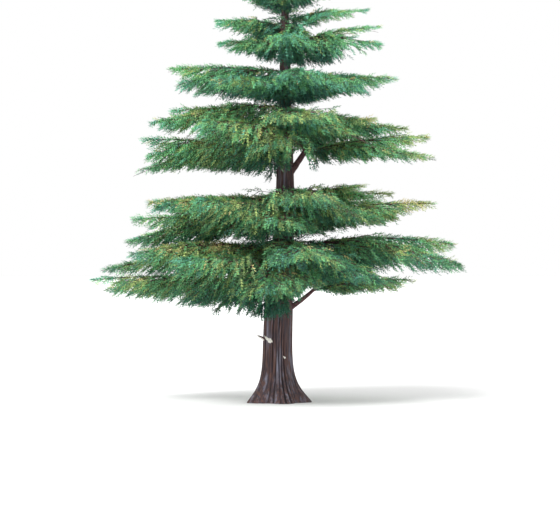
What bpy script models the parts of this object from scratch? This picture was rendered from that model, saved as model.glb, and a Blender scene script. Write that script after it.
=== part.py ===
"""A deodar cedar, rooted in the ground and about thirteen metres tall.

Metres, +Z up. The origin is the middle of the trunk's flat foot, at ground level.
The front faces -Y, and +X is to the right of it.
Azimuths are in degrees round the trunk: 0 is right, 90 back, 180 left and 270 front.
"""

import math
import random
from collections import namedtuple

import bmesh
import bpy
import numpy as np
from mathutils import Matrix, Vector

UP = Vector((0.0, 0.0, 1.0))

# Clearance between neighbouring solids, and the welding distances inside one
GAP = 0.0003
WELD = 0.00001
MERGE = 0.0001

# Trunk: a straight taper, a flared foot, a slight swelling and a lean to the right
TRUNK_TOP = 12.0
TRUNK_RADIUS = 0.382
TAPER_END = 13.0
FLARE = 0.36
FLARE_HEIGHT = 0.43
FLARE_POWER = 1.3
SWELL = 0.035
SWELL_HEIGHT = 2.2
SWELL_SPREAD = 1.2
TRUNK_LEAN = 0.19
LEAN_START = 1.2
LEAN_END = 5.4
ROOTS = 5
ROOT_TURN = math.radians(20.0)
ROOT_LOBE = 0.16
TRUNK_SIDES = 16
TRUNK_RINGS = 12
RING_CROWDING = 2.1

# Dead stub, low on the left of the trunk
STUB_HEIGHT = 1.48
STUB_AZIMUTH = 212.0
STUB_LENGTH = 0.19
STUB_RISE = 0.22
STUB_RADIUS = 0.055
STUB_ROOT_SHARE = 0.6
STUB_TURN = 30.0
STUB_TAPER = (1.0, 0.95, 0.5, 0.08)
STUB_ROUNDING = 1

# Bare boughs, and how far along one the mass that it carries has its root, before it is cut clear
LIMB_POINTS = 7
LIMB_ENTRY = 0.94
LIMB_ROUNDING = 2

# Foliage: the boughs inside a mass
LINE_POINTS = 9
BOUGH_POINTS = 3
BOUGH_ROUNDING = 0
BOUGH_RADIUS_SHARE = 0.015
BOUGH_TAPER = 0.8
BOUGH_END = 0.5
FORK_FIRST = 0.2
FORK_STEP = 0.12

# Foliage: the plumes along a bough, which are its side sprays and the one at its end
END_PLUME_START = 0.4
LONG_BOUGH = 2.6
SIDE_PLUMES_LONG = (3, 1)
SIDE_PLUMES_SHORT = (1, 1)
SIDE_START = 0.15
SIDE_STEP = 0.17
SIDE_SHARE = 0.46
SIDE_TAPER = 0.55
SIDE_ANGLE = math.radians(66.0)
SIDE_CLOSING = math.radians(42.0)
DROOP_INNER = 0.75
DROOP_OUTER = 0.2
FORKED_LATER = 0.1
SHORTEST_SHARE = 0.1
SHORTER = 0.88

# Foliage: how far chance moves a side plume's place, angle, droop and reach
PLACE_SCATTER = (-0.2, 0.2)
ANGLE_SCATTER = (0.85, 1.1)
DROOP_SCATTER = (-0.1, 0.1)
REACH_SCATTER = (0.88, 1.12)

# Foliage: the widths and droops that a plume tries, in order, before it is made shorter
FITS = ((1.35, 1.3), (1.15, 1.0), (1.0, 0.7), (0.85, 0.45), (0.7, 0.3), (0.6, 0.15))

# Foliage: the outline of one plume, as shares of its length
PLUME_HALF_WIDTH = 0.27
PLUME_DROOP = 1.35
PLUME_THICK = 0.075
TOOTH_SPACING = 0.42
TEETH_LEAST = 2
TEETH_MOST = 4
TIP_STEPS = 0.9
WIDEST_FORWARD = 0.75
FULLNESS = 0.7
NOTCH = 0.45
NOTCH_BACK = 0.03
NOTCH_LIFT = 0.6
RIDGE_BACK = 0.11
RIDGE_THINNING = 0.4
TEETH_TO_RIDGE = 2

# Foliage: how far a mass keeps inside its own space, how flat that space is and how far it hangs
SPACE_MARGIN = 0.03
SPACE_FLATNESS = 1.5
SPACE_HANG = 0.17
SPACE_STEP = 0.08
SPACE_STEPS_LEAST = 4

# Leader: the nodding tip of the tree and the short boughs round it
LEADER_TIER = 9
LEADER_FLOOR = 11.7
LEADER_SINK = 0.1
LEADER_ARCH = 0.03

# Colours: bark, the bare boughs, the stub, and needles that lighten by tier
BARK = (0.07, 0.04, 0.032)
LIMB_BARK = (0.09, 0.04, 0.04)
TORN_WOOD = (0.72, 0.66, 0.56)
NEEDLES = Vector((0.02, 0.11, 0.04))
NEEDLES_STEP = Vector((0.004, 0.008, 0.004))

# How rough each surface is
BARK_ROUGHNESS = 0.9
LIMB_ROUGHNESS = 0.85
WOOD_ROUGHNESS = 0.8
NEEDLES_ROUGHNESS = 0.6

Tip = namedtuple("Tip", "azimuth reach height")
Mass = namedtuple("Mass", "name tier root tips arch floor")
Limb = namedtuple("Limb", "name azimuth height reach rise radius end_radius arch")
Plume = namedtuple("Plume", "root direction length width droop")

# The two bare boughs that show on the right, each rising into its mass
LIMBS = (
    Limb("bough_lower_right", -8.0, 2.2, 0.86, 0.62, 0.085, 0.04, -0.05),
    Limb("bough_upper_right", -6.0, 5.6, 0.52, 0.7, 0.1, 0.062, -0.04),
)
LEADER_TIPS = (Tip(20, 0.14, 13.02), Tip(175, 0.42, 12.55), Tip(300, 0.4, 12.5), Tip(60, 0.42, 12.46))


def smooth(share):
    """A soft step from 0 to 1."""
    share = min(1.0, max(0.0, share))
    return share * share * (3.0 - 2.0 * share)


def flare_share(height):
    """How much of the foot's flare is left at a height."""
    return math.exp(-((height / FLARE_HEIGHT) ** FLARE_POWER))


def trunk_radius(height):
    """The trunk's mean radius at a height."""
    taper = TRUNK_RADIUS * (1.0 - height / TAPER_END)
    swell = SWELL * math.exp(-(((height - SWELL_HEIGHT) / SWELL_SPREAD) ** 2))
    return taper + swell + FLARE * flare_share(height)


def trunk_middle(height):
    """The middle of the trunk at a height."""
    lean = TRUNK_LEAN * smooth((height - LEAN_START) / (LEAN_END - LEAN_START))
    return Vector((lean, 0.0, height))


def around(azimuth, reach, height):
    """A point at a reach from the trunk's middle."""
    turn = math.radians(azimuth)
    return trunk_middle(height) + reach * Vector((math.cos(turn), math.sin(turn), 0.0))


def arc(start, end, arch, count):
    """Points from start to end on one arc, which stands arch above the straight line."""
    steps = [step / (count - 1) for step in range(count)]
    return [start.lerp(end, share) + UP * (4.0 * arch * share * (1.0 - share)) for share in steps]


def point_at(line, share):
    """The point at a share of the way along a line of points."""
    place = min(share, 1.0) * (len(line) - 1)
    first = min(int(place), len(line) - 2)
    return line[first].lerp(line[first + 1], place - first)


def direction_at(line, share):
    """The direction of a line of points at a share of the way along it."""
    first = min(int(share * (len(line) - 1)), len(line) - 2)
    return (line[first + 1] - line[first]).normalized()


def length_of(line):
    """The length of a line of points."""
    return sum((b - a).length for a, b in zip(line, line[1:]))


def limb_line(limb):
    """The middle of a bare bough, from inside the trunk to its tip."""
    start = trunk_middle(limb.height)
    end = around(limb.azimuth, limb.reach, limb.height + limb.rise)
    return arc(start, end, limb.arch, LIMB_POINTS)


def side_masses():
    """The masses that make the outline to the left and right, from the lowest tier up."""
    lower, upper = (point_at(limb_line(limb), LIMB_ENTRY) for limb in LIMBS)
    return (
        Mass("left_high", 1, 3.95, (Tip(176, 4.52, 3.28), Tip(204, 4.05, 3.66)), 0.14, 2.8),
        Mass("left_low", 1, 2.85, (Tip(184, 4.76, 3.06), Tip(165, 4.6, 2.76)), 0.16, 2.1),
        Mass("right_high", 1, 3.78, (Tip(8, 4.42, 3.93), Tip(-17, 4.68, 3.36)), 0.25, 2.82),
        Mass("right_low", 1, lower, (Tip(0, 3.38, 3.02), Tip(24, 3.2, 2.86)), 0.14, 2.42),
        Mass("left_high", 2, 5.0, (Tip(177, 3.46, 4.98), Tip(203, 3.45, 4.8)), 0.12, 4.15),
        Mass("left_low", 2, 4.4, (Tip(184, 3.84, 4.56), Tip(166, 4.1, 4.0)), 0.14, 3.55),
        Mass("right_high", 2, 5.18, (Tip(5, 2.7, 5.22), Tip(-19, 2.1, 5.38)), 0.02, 4.55),
        Mass("right_low", 2, 4.5, (Tip(-4, 3.74, 4.95), Tip(16, 2.95, 4.6)), 0.17, 4.05),
        Mass("left_high", 3, 7.38, (Tip(172, 2.9, 7.3), Tip(194, 3.42, 6.92)), 0.04, 6.15),
        Mass("left_low", 3, 6.05, (Tip(187, 3.6, 6.52), Tip(166, 3.98, 5.68), Tip(176, 3.5, 6.1)), 0.18, 5.5),
        Mass("right_high", 3, 7.2, (Tip(5, 3.12, 6.84), Tip(-20, 2.35, 7.02)), -0.03, 6.2),
        Mass("right_low", 3, upper, (Tip(6, 3.66, 6.64), Tip(-13, 3.82, 5.99)), 0.12, 5.72),
        Mass("left", 4, 8.25, (Tip(175, 2.93, 8.34), Tip(194, 2.75, 7.87)), 0.07, 7.5),
        Mass("right", 4, 8.1, (Tip(5, 2.84, 8.08), Tip(-15, 2.15, 7.66)), 0.07, 7.38),
        Mass("left_high", 5, 9.38, (Tip(176, 1.72, 9.55), Tip(199, 1.8, 9.4)), 0.04, 8.9),
        Mass("left_low", 5, 8.85, (Tip(184, 1.66, 8.95), Tip(162, 1.5, 8.82)), 0.06, 8.52),
        Mass("right_high", 5, 9.55, (Tip(4, 2.08, 9.82), Tip(-20, 1.8, 9.62)), 0.02, 9.3),
        Mass("right_low", 5, 8.9, (Tip(-4, 2.38, 9.36), Tip(12, 2.48, 8.97), Tip(-18, 2.1, 8.66)), 0.1, 8.25),
        Mass("left", 6, 10.12, (Tip(178, 1.45, 10.4), Tip(203, 1.15, 10.12)), 0.04, 9.72),
        Mass("right", 6, 10.15, (Tip(2, 1.6, 10.5), Tip(-24, 1.25, 10.16)), 0.04, 9.82),
    )


# Masses to the front and back of each tier: the azimuths of each one's two boughs, the heights of
# their root and of the two tips, their reach, and how far down the sprays of each one hang
RoundTier = namedtuple("RoundTier", "tier turns root high low reach floors")
FOUR_ROUND = ((106, 144), (76, 40), (266, 234), (279, 319))
TWO_ROUND = ((82, 118), (270, 304))
ROUND_TIERS = (
    RoundTier(1, FOUR_ROUND, 4.0, 3.6, 2.8, 4.0, (2.2, 2.4, 1.85, 2.7)),
    RoundTier(2, FOUR_ROUND, 5.2, 5.0, 4.4, 3.5, (3.85, 4.0, 3.55, 4.15)),
    RoundTier(3, FOUR_ROUND, 7.2, 6.9, 6.2, 3.3, (5.6, 5.9, 5.3, 6.3)),
    RoundTier(4, FOUR_ROUND, 8.1, 7.98, 7.8, 2.6, (7.35, 7.35, 7.25, 7.25)),
    RoundTier(5, TWO_ROUND, 9.35, 9.5, 9.0, 1.95, (8.35, 8.2)),
    RoundTier(6, TWO_ROUND, 10.15, 10.4, 10.15, 1.4, (9.75, 9.75)),
    RoundTier(7, ((350, 32), (100, 150), (222, 275)), 10.8, 11.15, 10.95, 1.1, (10.3, 10.3, 10.3)),
    RoundTier(8, ((345, 20), (105, 140), (225, 260)), 11.42, 11.85, 11.6, 0.78, (10.95, 10.95, 10.95)),
)
ROUND_NAMES = {
    4: ("back_left", "back_right", "front_left", "front_right"),
    3: ("right", "back", "front"),
    2: ("back", "front"),
}
ROUND_SKEW = 0.05
ROUND_ARCH = 0.08
ROUND_STAGGER = 0.4


def round_masses():
    """The masses to the front and back, worked out from each tier's sizes."""
    masses = []
    for sizes in ROUND_TIERS:
        names = ROUND_NAMES[len(sizes.turns)]
        for number, (first, second) in enumerate(sizes.turns):
            skew = ROUND_SKEW * (1 if number % 2 else -1)
            high, low = sizes.high + skew, sizes.low - skew
            heights = (low, high) if number % 3 else (high, low)
            tips = (
                Tip(first, sizes.reach * (1.0 + skew), heights[0]),
                Tip(second, sizes.reach * (1.0 - skew), heights[1]),
            )
            root = sizes.root - (ROUND_STAGGER if number % 3 else 0.0)
            masses.append(Mass(names[number], sizes.tier, root, tips, ROUND_ARCH, sizes.floors[number]))
    return masses


def leader_mass():
    """The nodding leader, which stands on the trunk's tip with a few short boughs round it."""
    foot = trunk_middle(TRUNK_TOP - LEADER_SINK)
    return Mass("leader", LEADER_TIER, foot, LEADER_TIPS, LEADER_ARCH, LEADER_FLOOR)


def boughs_of(mass):
    """The lines of a mass's boughs. The first is its stem, and the others fork off it."""
    start = trunk_middle(mass.root) if isinstance(mass.root, float) else mass.root
    lines = []
    for number, tip in enumerate(mass.tips):
        end = around(tip.azimuth, tip.reach, tip.height)
        if number:
            start = point_at(lines[0], FORK_FIRST + FORK_STEP * (number - 1))
        lines.append(arc(start, end, mass.arch, LINE_POINTS))
    return lines


class Spaces:
    """Each mass's own space: what lies nearer to below its boughs than to below any other's."""

    def __init__(self, lines_by_owner, floors):
        self.floors = floors
        points = []
        owners = []
        for owner, lines in enumerate(lines_by_owner):
            for line in lines:
                count = max(SPACE_STEPS_LEAST, int(length_of(line) / SPACE_STEP))
                places = [point_at(line, step / count) for step in range(count + 1)]
                hangs = [SPACE_HANG * smooth(2.0 * step / count) for step in range(count + 1)]
                points += [place - UP * hang for place, hang in zip(places, hangs)]
                owners += [owner] * (count + 1)
        self.flatten = np.array((1.0, 1.0, SPACE_FLATNESS))
        self.points = np.array(points) * self.flatten
        self.owners = np.array(owners)

    def hold(self, owner, corners):
        """Whether every corner lies in the owner's space, over its floor and off the trunk."""
        if min(corner.z for corner in corners) < self.floors[owner]:
            return False
        places = np.array(corners) * self.flatten
        apart = np.linalg.norm(self.points[None] - places[:, None], axis=2)
        own = apart[:, self.owners == owner].min(axis=1)
        other = apart[:, self.owners != owner].min(axis=1)
        if (other - own < 2.0 * SPACE_MARGIN).any():
            return False
        for corner in corners:
            height = min(corner.z, TRUNK_TOP)
            if (corner - trunk_middle(height)).length < trunk_radius(height) + SPACE_MARGIN:
                return False
        return True


def plumes_of(line, number, seed):
    """A bough's plumes: the one at its end, and side plumes that alternate and hang."""
    chance = random.Random(seed)
    length = length_of(line)
    root = point_at(line, END_PLUME_START)
    plumes = [Plume(root, (line[-1] - root).normalized(), (line[-1] - root).length, 1.0, 1.0)]
    first_side = chance.choice((-1.0, 1.0))
    counts = SIDE_PLUMES_LONG if length > LONG_BOUGH else SIDE_PLUMES_SHORT
    for step in range(counts[min(number, 1)]):
        share = SIDE_START + SIDE_STEP * (step + chance.uniform(*PLACE_SCATTER))
        share += FORKED_LATER * min(number, 1)
        along = direction_at(line, share)
        side = along.cross(UP).normalized() * (first_side if step % 2 else -first_side)
        angle = (SIDE_ANGLE - SIDE_CLOSING * share) * chance.uniform(*ANGLE_SCATTER)
        droop = DROOP_INNER + (DROOP_OUTER - DROOP_INNER) * smooth(2.0 * share)
        droop += chance.uniform(*DROOP_SCATTER)
        direction = along * math.cos(angle) + side * math.sin(angle) - UP * droop
        reach = length * SIDE_SHARE * (1.0 - SIDE_TAPER * share) * chance.uniform(*REACH_SCATTER)
        plumes.append(Plume(point_at(line, share), direction.normalized(), reach, 1.0, 1.0))
    return plumes


def teeth_of(plume):
    """How many teeth each side of a plume has."""
    return max(TEETH_LEAST, min(TEETH_MOST, round(plume.length / TOOTH_SPACING)))


def plume_edge(teeth, droop):
    """One side of a plume's outline from root to tip, in its own length: teeth and notches."""
    edge = [Vector((0.0, 0.0, 0.0))]
    for tooth in range(teeth):
        along = (tooth + 1.0) / (teeth + TIP_STEPS)
        across = PLUME_HALF_WIDTH * math.sin(math.pi * along**WIDEST_FORWARD) ** FULLNESS
        edge.append(Vector((along, across, -PLUME_DROOP * droop * across)))
        across *= NOTCH
        edge.append(Vector((along - NOTCH_BACK, across, -PLUME_DROOP * droop * across * NOTCH_LIFT)))
    edge.append(Vector((1.0, 0.0, 0.0)))
    return edge


def plume_ridge(teeth, side):
    """The points of a plume's ridge above it, or below it where side is -1: one for a few teeth."""
    steps = teeth + TIP_STEPS
    places = [(tooth + 1.0) / steps - RIDGE_BACK for tooth in range(0, teeth, TEETH_TO_RIDGE)]
    return [Vector((x, 0.0, side * 0.5 * PLUME_THICK * (1.0 - RIDGE_THINNING * x))) for x in places]


def placed(plume):
    """The move that lays a plume of unit length, drawn along +X with +Z up, in its place."""
    level = UP.cross(plume.direction).normalized()
    turn = Matrix((plume.direction, level, plume.direction.cross(level))).transposed().to_4x4()
    size = Matrix.Diagonal((plume.length, plume.length * plume.width, plume.length, 1.0))
    return Matrix.Translation(plume.root) @ turn @ size


def corners_of(plume):
    """Where the outline and the ridge of a plume lie, apart from its root."""
    teeth = teeth_of(plume)
    edge = plume_edge(teeth, plume.droop)[1:]
    far = [Vector((corner.x, -corner.y, corner.z)) for corner in edge[:-1]]
    place = placed(plume)
    return [place @ corner for corner in edge + far + plume_ridge(teeth, 1.0) + plume_ridge(teeth, -1.0)]


def fitted(plume, shortest, owner, spaces):
    """The plume, made flatter, slimmer and then shorter until it keeps to its space.

    None if it can't. A plume whose shortest length is its own is never made shorter.
    """
    while True:
        for width, droop in FITS:
            tried = plume._replace(width=width, droop=droop)
            if spaces.hold(owner, corners_of(tried)):
                return tried
        if plume.length == shortest:
            return tried
        plume = plume._replace(length=plume.length * SHORTER)
        if plume.length < shortest:
            return None


def new_object(name, mesh, collection):
    """An object that shows a mesh, in a collection."""
    made = bpy.data.objects.new(name, mesh)
    collection.objects.link(made)
    return made


def evaluated_mesh(source, name):
    """A new mesh of an object as its modifiers or its bevel leave it."""
    graph = bpy.context.evaluated_depsgraph_get()
    mesh = bpy.data.meshes.new_from_object(source.evaluated_get(graph))
    mesh.name = name
    return mesh


def remove_object(made):
    """Removes an object and the mesh or curve that it showed."""
    data = made.data
    bpy.data.objects.remove(made)
    if isinstance(data, bpy.types.Mesh):
        bpy.data.meshes.remove(data)
    else:
        bpy.data.curves.remove(data)


def tube(name, line, radii, rounding, collection):
    """A tapering tube with flat ends along a line of points."""
    curve = bpy.data.curves.new(name + "_line", "CURVE")
    curve.dimensions = "3D"
    curve.bevel_depth = 1.0
    curve.bevel_resolution = rounding
    curve.use_fill_caps = True
    spline = curve.splines.new("POLY")
    spline.points.add(len(line) - 1)
    for point, place, radius in zip(spline.points, line, radii):
        point.co = (*place, 1.0)
        point.radius = radius
    drawn = new_object(name + "_line", curve, collection)
    mesh = evaluated_mesh(drawn, name)
    remove_object(drawn)
    weld(mesh)
    return new_object(name, mesh, collection)


def weld(mesh):
    """Joins points that lie on each other, and turns every face outwards."""
    shape = bmesh.new()
    shape.from_mesh(mesh)
    bmesh.ops.remove_doubles(shape, verts=shape.verts, dist=WELD)
    bmesh.ops.recalc_face_normals(shape, faces=shape.faces)
    shape.to_mesh(mesh)
    shape.free()


def loft_edge(shape, edge, ridge, mirrored):
    """The faces from one toothed edge to the points of a ridge, each edge to the ridge behind it."""
    last = 0
    for number in range(len(edge) - 1):
        nearest = min(number // (2 * TEETH_TO_RIDGE), len(ridge) - 1)
        corners = [edge[number], edge[number + 1], ridge[nearest]]
        shape.faces.new(reversed(corners) if mirrored else corners)
        if nearest != last:
            corners = [edge[number], ridge[nearest], ridge[last]]
            shape.faces.new(reversed(corners) if mirrored else corners)
            last = nearest


def plume_object(name, plume, collection):
    """One plume: a toothed blade with a ridge along its middle and its teeth hanging beside it."""
    teeth = teeth_of(plume)
    shape = bmesh.new()
    near = [shape.verts.new(corner) for corner in plume_edge(teeth, plume.droop)]
    far = [shape.verts.new((c.co.x, -c.co.y, c.co.z)) for c in near[1:-1]]
    far = [near[0], *far, near[-1]]
    for side in (1.0, -1.0):
        ridge = [shape.verts.new(corner) for corner in plume_ridge(teeth, side)]
        loft_edge(shape, near, ridge, side > 0.0)
        loft_edge(shape, far, ridge, side < 0.0)
    bmesh.ops.transform(shape, matrix=placed(plume), verts=shape.verts)
    bmesh.ops.recalc_face_normals(shape, faces=shape.faces)
    mesh = bpy.data.meshes.new(name)
    shape.to_mesh(mesh)
    shape.free()
    return new_object(name, mesh, collection)


def keep_main_body(mesh):
    """Keeps the largest closed body of a mesh, so that loose scraps and sealed hollows go."""
    shape = bmesh.new()
    shape.from_mesh(mesh)
    left = set(shape.verts)
    bodies = []
    while left:
        body = set()
        edge = [left.pop()]
        while edge:
            corner = edge.pop()
            body.add(corner)
            for link in corner.link_edges:
                other = link.other_vert(corner)
                if other in left:
                    left.remove(other)
                    edge.append(other)
        bodies.append(body)
    main = max(bodies, key=len)
    scraps = [corner for body in bodies if body is not main for corner in body]
    bmesh.ops.delete(shape, geom=scraps, context="VERTS")
    bmesh.ops.triangulate(shape, faces=shape.faces)
    shape.to_mesh(mesh)
    shape.free()


def is_closed(mesh):
    """Whether every edge of a mesh joins exactly two faces."""
    shape = bmesh.new()
    shape.from_mesh(mesh)
    closed = len(shape.faces) > 0 and all(edge.is_manifold for edge in shape.edges)
    shape.free()
    return closed


def combine(base, operation, other=None, collection=None):
    """Applies one Boolean to an object. Where the first solver leaves it open, the second is used."""
    modifier = base.modifiers.new("Combine", "BOOLEAN")
    modifier.operation = operation
    if collection:
        modifier.operand_type = "COLLECTION"
        modifier.collection = collection
    else:
        modifier.object = other
    for solver in ("EXACT", "MANIFOLD"):
        modifier.solver = solver
        mesh = evaluated_mesh(base, base.name)
        if is_closed(mesh):
            break
    base.modifiers.remove(modifier)
    old = base.data
    base.data = mesh
    bpy.data.meshes.remove(old)


def bough_radii(line):
    """The radii along a bough, from its stem to its fine end."""
    stem = length_of(line) * BOUGH_RADIUS_SHARE
    return [stem * (1.0 - BOUGH_TAPER * step / (BOUGH_POINTS - 1)) for step in range(BOUGH_POINTS)]


def mass_object(mass, owner, spaces, cutters, parts, scratch):
    """One mass of foliage: its boughs and plumes joined into one solid, cut clear of what carries it."""
    name = mass.name if mass.tier == LEADER_TIER else f"foliage_{mass.tier}_{mass.name}"
    lines = boughs_of(mass)
    pieces = []
    for number, line in enumerate(lines):
        ends = [point_at(line, BOUGH_END * step / (BOUGH_POINTS - 1)) for step in range(BOUGH_POINTS)]
        pieces.append(tube(f"{name}_bough_{number}", ends, bough_radii(line), BOUGH_ROUNDING, scratch))
        shortest = length_of(line) * SHORTEST_SHARE
        for count, plume in enumerate(plumes_of(line, number, f"{name} {number}")):
            plume = fitted(plume, shortest if count else plume.length, owner, spaces)
            if plume:
                pieces.append(plume_object(f"{name}_plume_{number}_{count}", plume, scratch))
    base = pieces[0]
    scratch.objects.unlink(base)
    parts.objects.link(base)
    combine(base, "UNION", collection=scratch)
    for piece in pieces[1:]:
        remove_object(piece)
    for cutter in cutters:
        combine(base, "DIFFERENCE", other=cutter)
    keep_main_body(base.data)
    base.name = name
    base.data.name = name
    return base


def trunk_mesh():
    """The trunk, turned from its profile, then lobed at the roots and leant."""
    steps = [step / TRUNK_RINGS for step in range(TRUNK_RINGS + 1)]
    heights = [TRUNK_TOP * step**RING_CROWDING for step in steps]
    profile = [(0.0, TRUNK_TOP)]
    profile += [(trunk_radius(height), height) for height in reversed(heights)]
    profile.append((0.0, 0.0))
    shape = bmesh.new()
    corners = [shape.verts.new((radius, 0.0, height)) for radius, height in profile]
    for above, below in zip(corners, corners[1:]):
        shape.edges.new((above, below))
    mesh = bpy.data.meshes.new("trunk_profile")
    shape.to_mesh(mesh)
    shape.free()
    drawn = new_object("trunk_profile", mesh, bpy.context.scene.collection)
    screw = drawn.modifiers.new("Turn", "SCREW")
    screw.steps = TRUNK_SIDES
    screw.render_steps = TRUNK_SIDES
    screw.use_merge_vertices = True
    screw.merge_threshold = MERGE
    turned = evaluated_mesh(drawn, "trunk")
    remove_object(drawn)
    for corner in turned.vertices:
        angle = math.atan2(corner.co.y, corner.co.x)
        lobe = 1.0 + ROOT_LOBE * flare_share(corner.co.z) * math.cos(ROOTS * angle + ROOT_TURN)
        middle = trunk_middle(corner.co.z)
        corner.co = Vector((corner.co.x * lobe + middle.x, corner.co.y * lobe + middle.y, corner.co.z))
    weld(turned)
    return turned


def grown_cutter(solid, collection):
    """A solid grown by the gap, which cuts its neighbours clear of it."""
    grown = solid.data.copy()
    normals = [corner.normal.copy() for corner in solid.data.vertices]
    for corner, normal in zip(grown.vertices, normals):
        corner.co += normal * GAP
    cutter = new_object(solid.name + "_cutter", grown, collection)
    cutter.hide_render = True
    cutter.display_type = "WIRE"
    return cutter


def bare_bough(limb, cutter, parts):
    """One bare bough: a single tapering limb, cut clear of the trunk."""
    line = limb_line(limb)
    steps = [step / (len(line) - 1) for step in range(len(line))]
    radii = [limb.radius + (limb.end_radius - limb.radius) * step for step in steps]
    made = tube(limb.name, line, radii, LIMB_ROUNDING, parts)
    combine(made, "DIFFERENCE", other=cutter)
    keep_main_body(made.data)
    return made


def dead_stub(cutter, parts):
    """The broken splinter of a dead limb, standing out of the trunk."""
    reach = trunk_radius(STUB_HEIGHT)
    start = around(STUB_AZIMUTH, reach * STUB_ROOT_SHARE, STUB_HEIGHT)
    end = around(STUB_AZIMUTH - STUB_TURN, reach + STUB_LENGTH, STUB_HEIGHT + STUB_RISE)
    line = arc(start, end, 0.0, len(STUB_TAPER))
    radii = [STUB_RADIUS * taper for taper in STUB_TAPER]
    made = tube("dead_stub", line, radii, STUB_ROUNDING, parts)
    combine(made, "DIFFERENCE", other=cutter)
    keep_main_body(made.data)
    return made


def material(name, colour, roughness):
    """A plain surface of one colour."""
    made = bpy.data.materials.new(name)
    made.use_nodes = True
    shader = made.node_tree.nodes["Principled BSDF"]
    shader.inputs["Base Color"].default_value = (*colour, 1.0)
    shader.inputs["Roughness"].default_value = roughness
    shader.inputs["Metallic"].default_value = 0.0
    return made


def clear_scene():
    """Removes whatever the scene starts with."""
    for made in list(bpy.data.objects):
        bpy.data.objects.remove(made)


def new_collection(name):
    """A collection in the scene."""
    made = bpy.data.collections.new(name)
    bpy.context.scene.collection.children.link(made)
    return made


def build_tree():
    """Builds every solid of the tree."""
    clear_scene()
    parts = new_collection("deodar_cedar")
    cutters = new_collection("cutters")
    scratch = new_collection("scratch")
    bark = material("furrowed_bark", BARK, BARK_ROUGHNESS)
    limb_bark = material("limb_bark", LIMB_BARK, LIMB_ROUGHNESS)
    torn_wood = material("torn_wood", TORN_WOOD, WOOD_ROUGHNESS)
    tints = [NEEDLES + NEEDLES_STEP * tier for tier in range(1, LEADER_TIER + 1)]
    needles = [material(f"needles_{tier}", tint, NEEDLES_ROUGHNESS) for tier, tint in enumerate(tints, 1)]
    trunk = new_object("trunk", trunk_mesh(), parts)
    trunk.data.materials.append(bark)
    cutter = grown_cutter(trunk, cutters)
    carriers = [cutter]
    for limb in LIMBS:
        bough = bare_bough(limb, cutter, parts)
        bough.data.materials.append(limb_bark)
        carriers.append(grown_cutter(bough, cutters))
    dead_stub(cutter, parts).data.materials.append(torn_wood)
    masses = [*side_masses(), *round_masses(), leader_mass()]
    lines = [boughs_of(mass) for mass in masses] + [[limb_line(limb)] for limb in LIMBS]
    spaces = Spaces(lines, [mass.floor for mass in masses])
    for owner, mass in enumerate(masses):
        made = mass_object(mass, owner, spaces, carriers, parts, scratch)
        made.data.materials.clear()
        made.data.materials.append(needles[mass.tier - 1])
    bpy.data.collections.remove(scratch)


if __name__ == "__main__":
    build_tree()
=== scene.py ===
"""Grows the bark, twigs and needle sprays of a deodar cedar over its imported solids, in a plain studio.

Metres, +Z up, the front towards -Y. Azimuths are in degrees round the trunk: 0 is right and 90 back.
"""

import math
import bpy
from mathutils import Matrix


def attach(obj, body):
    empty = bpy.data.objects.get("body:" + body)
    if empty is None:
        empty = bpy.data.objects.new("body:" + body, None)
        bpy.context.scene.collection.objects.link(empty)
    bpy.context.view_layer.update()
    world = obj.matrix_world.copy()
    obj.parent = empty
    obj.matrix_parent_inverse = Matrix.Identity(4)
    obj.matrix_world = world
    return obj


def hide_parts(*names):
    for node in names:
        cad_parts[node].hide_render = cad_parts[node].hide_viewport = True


bl_info = {
    "name": "Deodar cedar",
    "version": (1, 0, 0),
    "blender": (4, 5, 0),
    "location": "3D View > Sidebar > Deodar",
    "description": "Grows bark, twigs and needle sprays over the solids of a deodar cedar",
    "category": "Add Mesh",
}

from collections import namedtuple

import bmesh
import bpy
import numpy as np
from mathutils import Vector
from mathutils.kdtree import KDTree

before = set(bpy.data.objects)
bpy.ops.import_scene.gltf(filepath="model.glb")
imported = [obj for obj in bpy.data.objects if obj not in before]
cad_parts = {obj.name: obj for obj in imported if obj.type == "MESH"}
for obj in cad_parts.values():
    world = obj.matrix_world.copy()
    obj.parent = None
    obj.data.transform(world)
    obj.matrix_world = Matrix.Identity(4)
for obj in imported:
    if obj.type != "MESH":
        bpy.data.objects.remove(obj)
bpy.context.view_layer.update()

BODY = "root"
UP = np.array((0.0, 0.0, 1.0))

# Steps too small to see, which keep divisions and upright limbs safe
TINY = 1e-9
NUDGE = 1e-6

# The trunk, the bare boughs and the dead stub have the sizes of their solids
TRUNK_TOP = 12.0
TRUNK_RADIUS = 0.382
TAPER_END = 13.0
FLARE = 0.36
FLARE_HEIGHT = 0.43
FLARE_POWER = 1.3
SWELL = 0.035
SWELL_HEIGHT = 2.2
SWELL_SPREAD = 1.2
TRUNK_LEAN = 0.19
LEAN_START = 1.2
LEAN_END = 5.4
ROOTS = 5
ROOT_TURN = math.radians(20.0)
ROOT_LOBE = 0.16
STUB_HEIGHT = 1.48
STUB_AZIMUTH = 212.0
STUB_TURN = 30.0
STUB_LENGTH = 0.19
STUB_RISE = 0.22
STUB_RADIUS = 0.055
STUB_ROOT_SHARE = 0.6
Limb = namedtuple("Limb", "name azimuth height reach rise radius end_radius arch")
BARE_LIMBS = (
    Limb("bough_lower_right", -8.0, 2.2, 0.86, 0.62, 0.085, 0.04, -0.05),
    Limb("bough_upper_right", -6.0, 5.6, 0.52, 0.7, 0.1, 0.062, -0.04),
)

# Trunk relief: points round it, rings up it, and furrows round it, which wander by strengths and paces
BARK_TURNS = 204
BARK_RINGS = 170
BARK_CROWDING = 1.7
THIN_BARK = 0.15
THICK_BARK = 1.3
FURROWS = 30
FURROW_SPREAD = 0.55
FURROW_WANDER = ((1.6, 0.5), (0.9, 1.7), (0.4, 5.0))
FURROW_PACES = (0.7, 1.4)
FURROW_GAIN = 0.55
FURROW_SHIFT = 0.1

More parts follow.
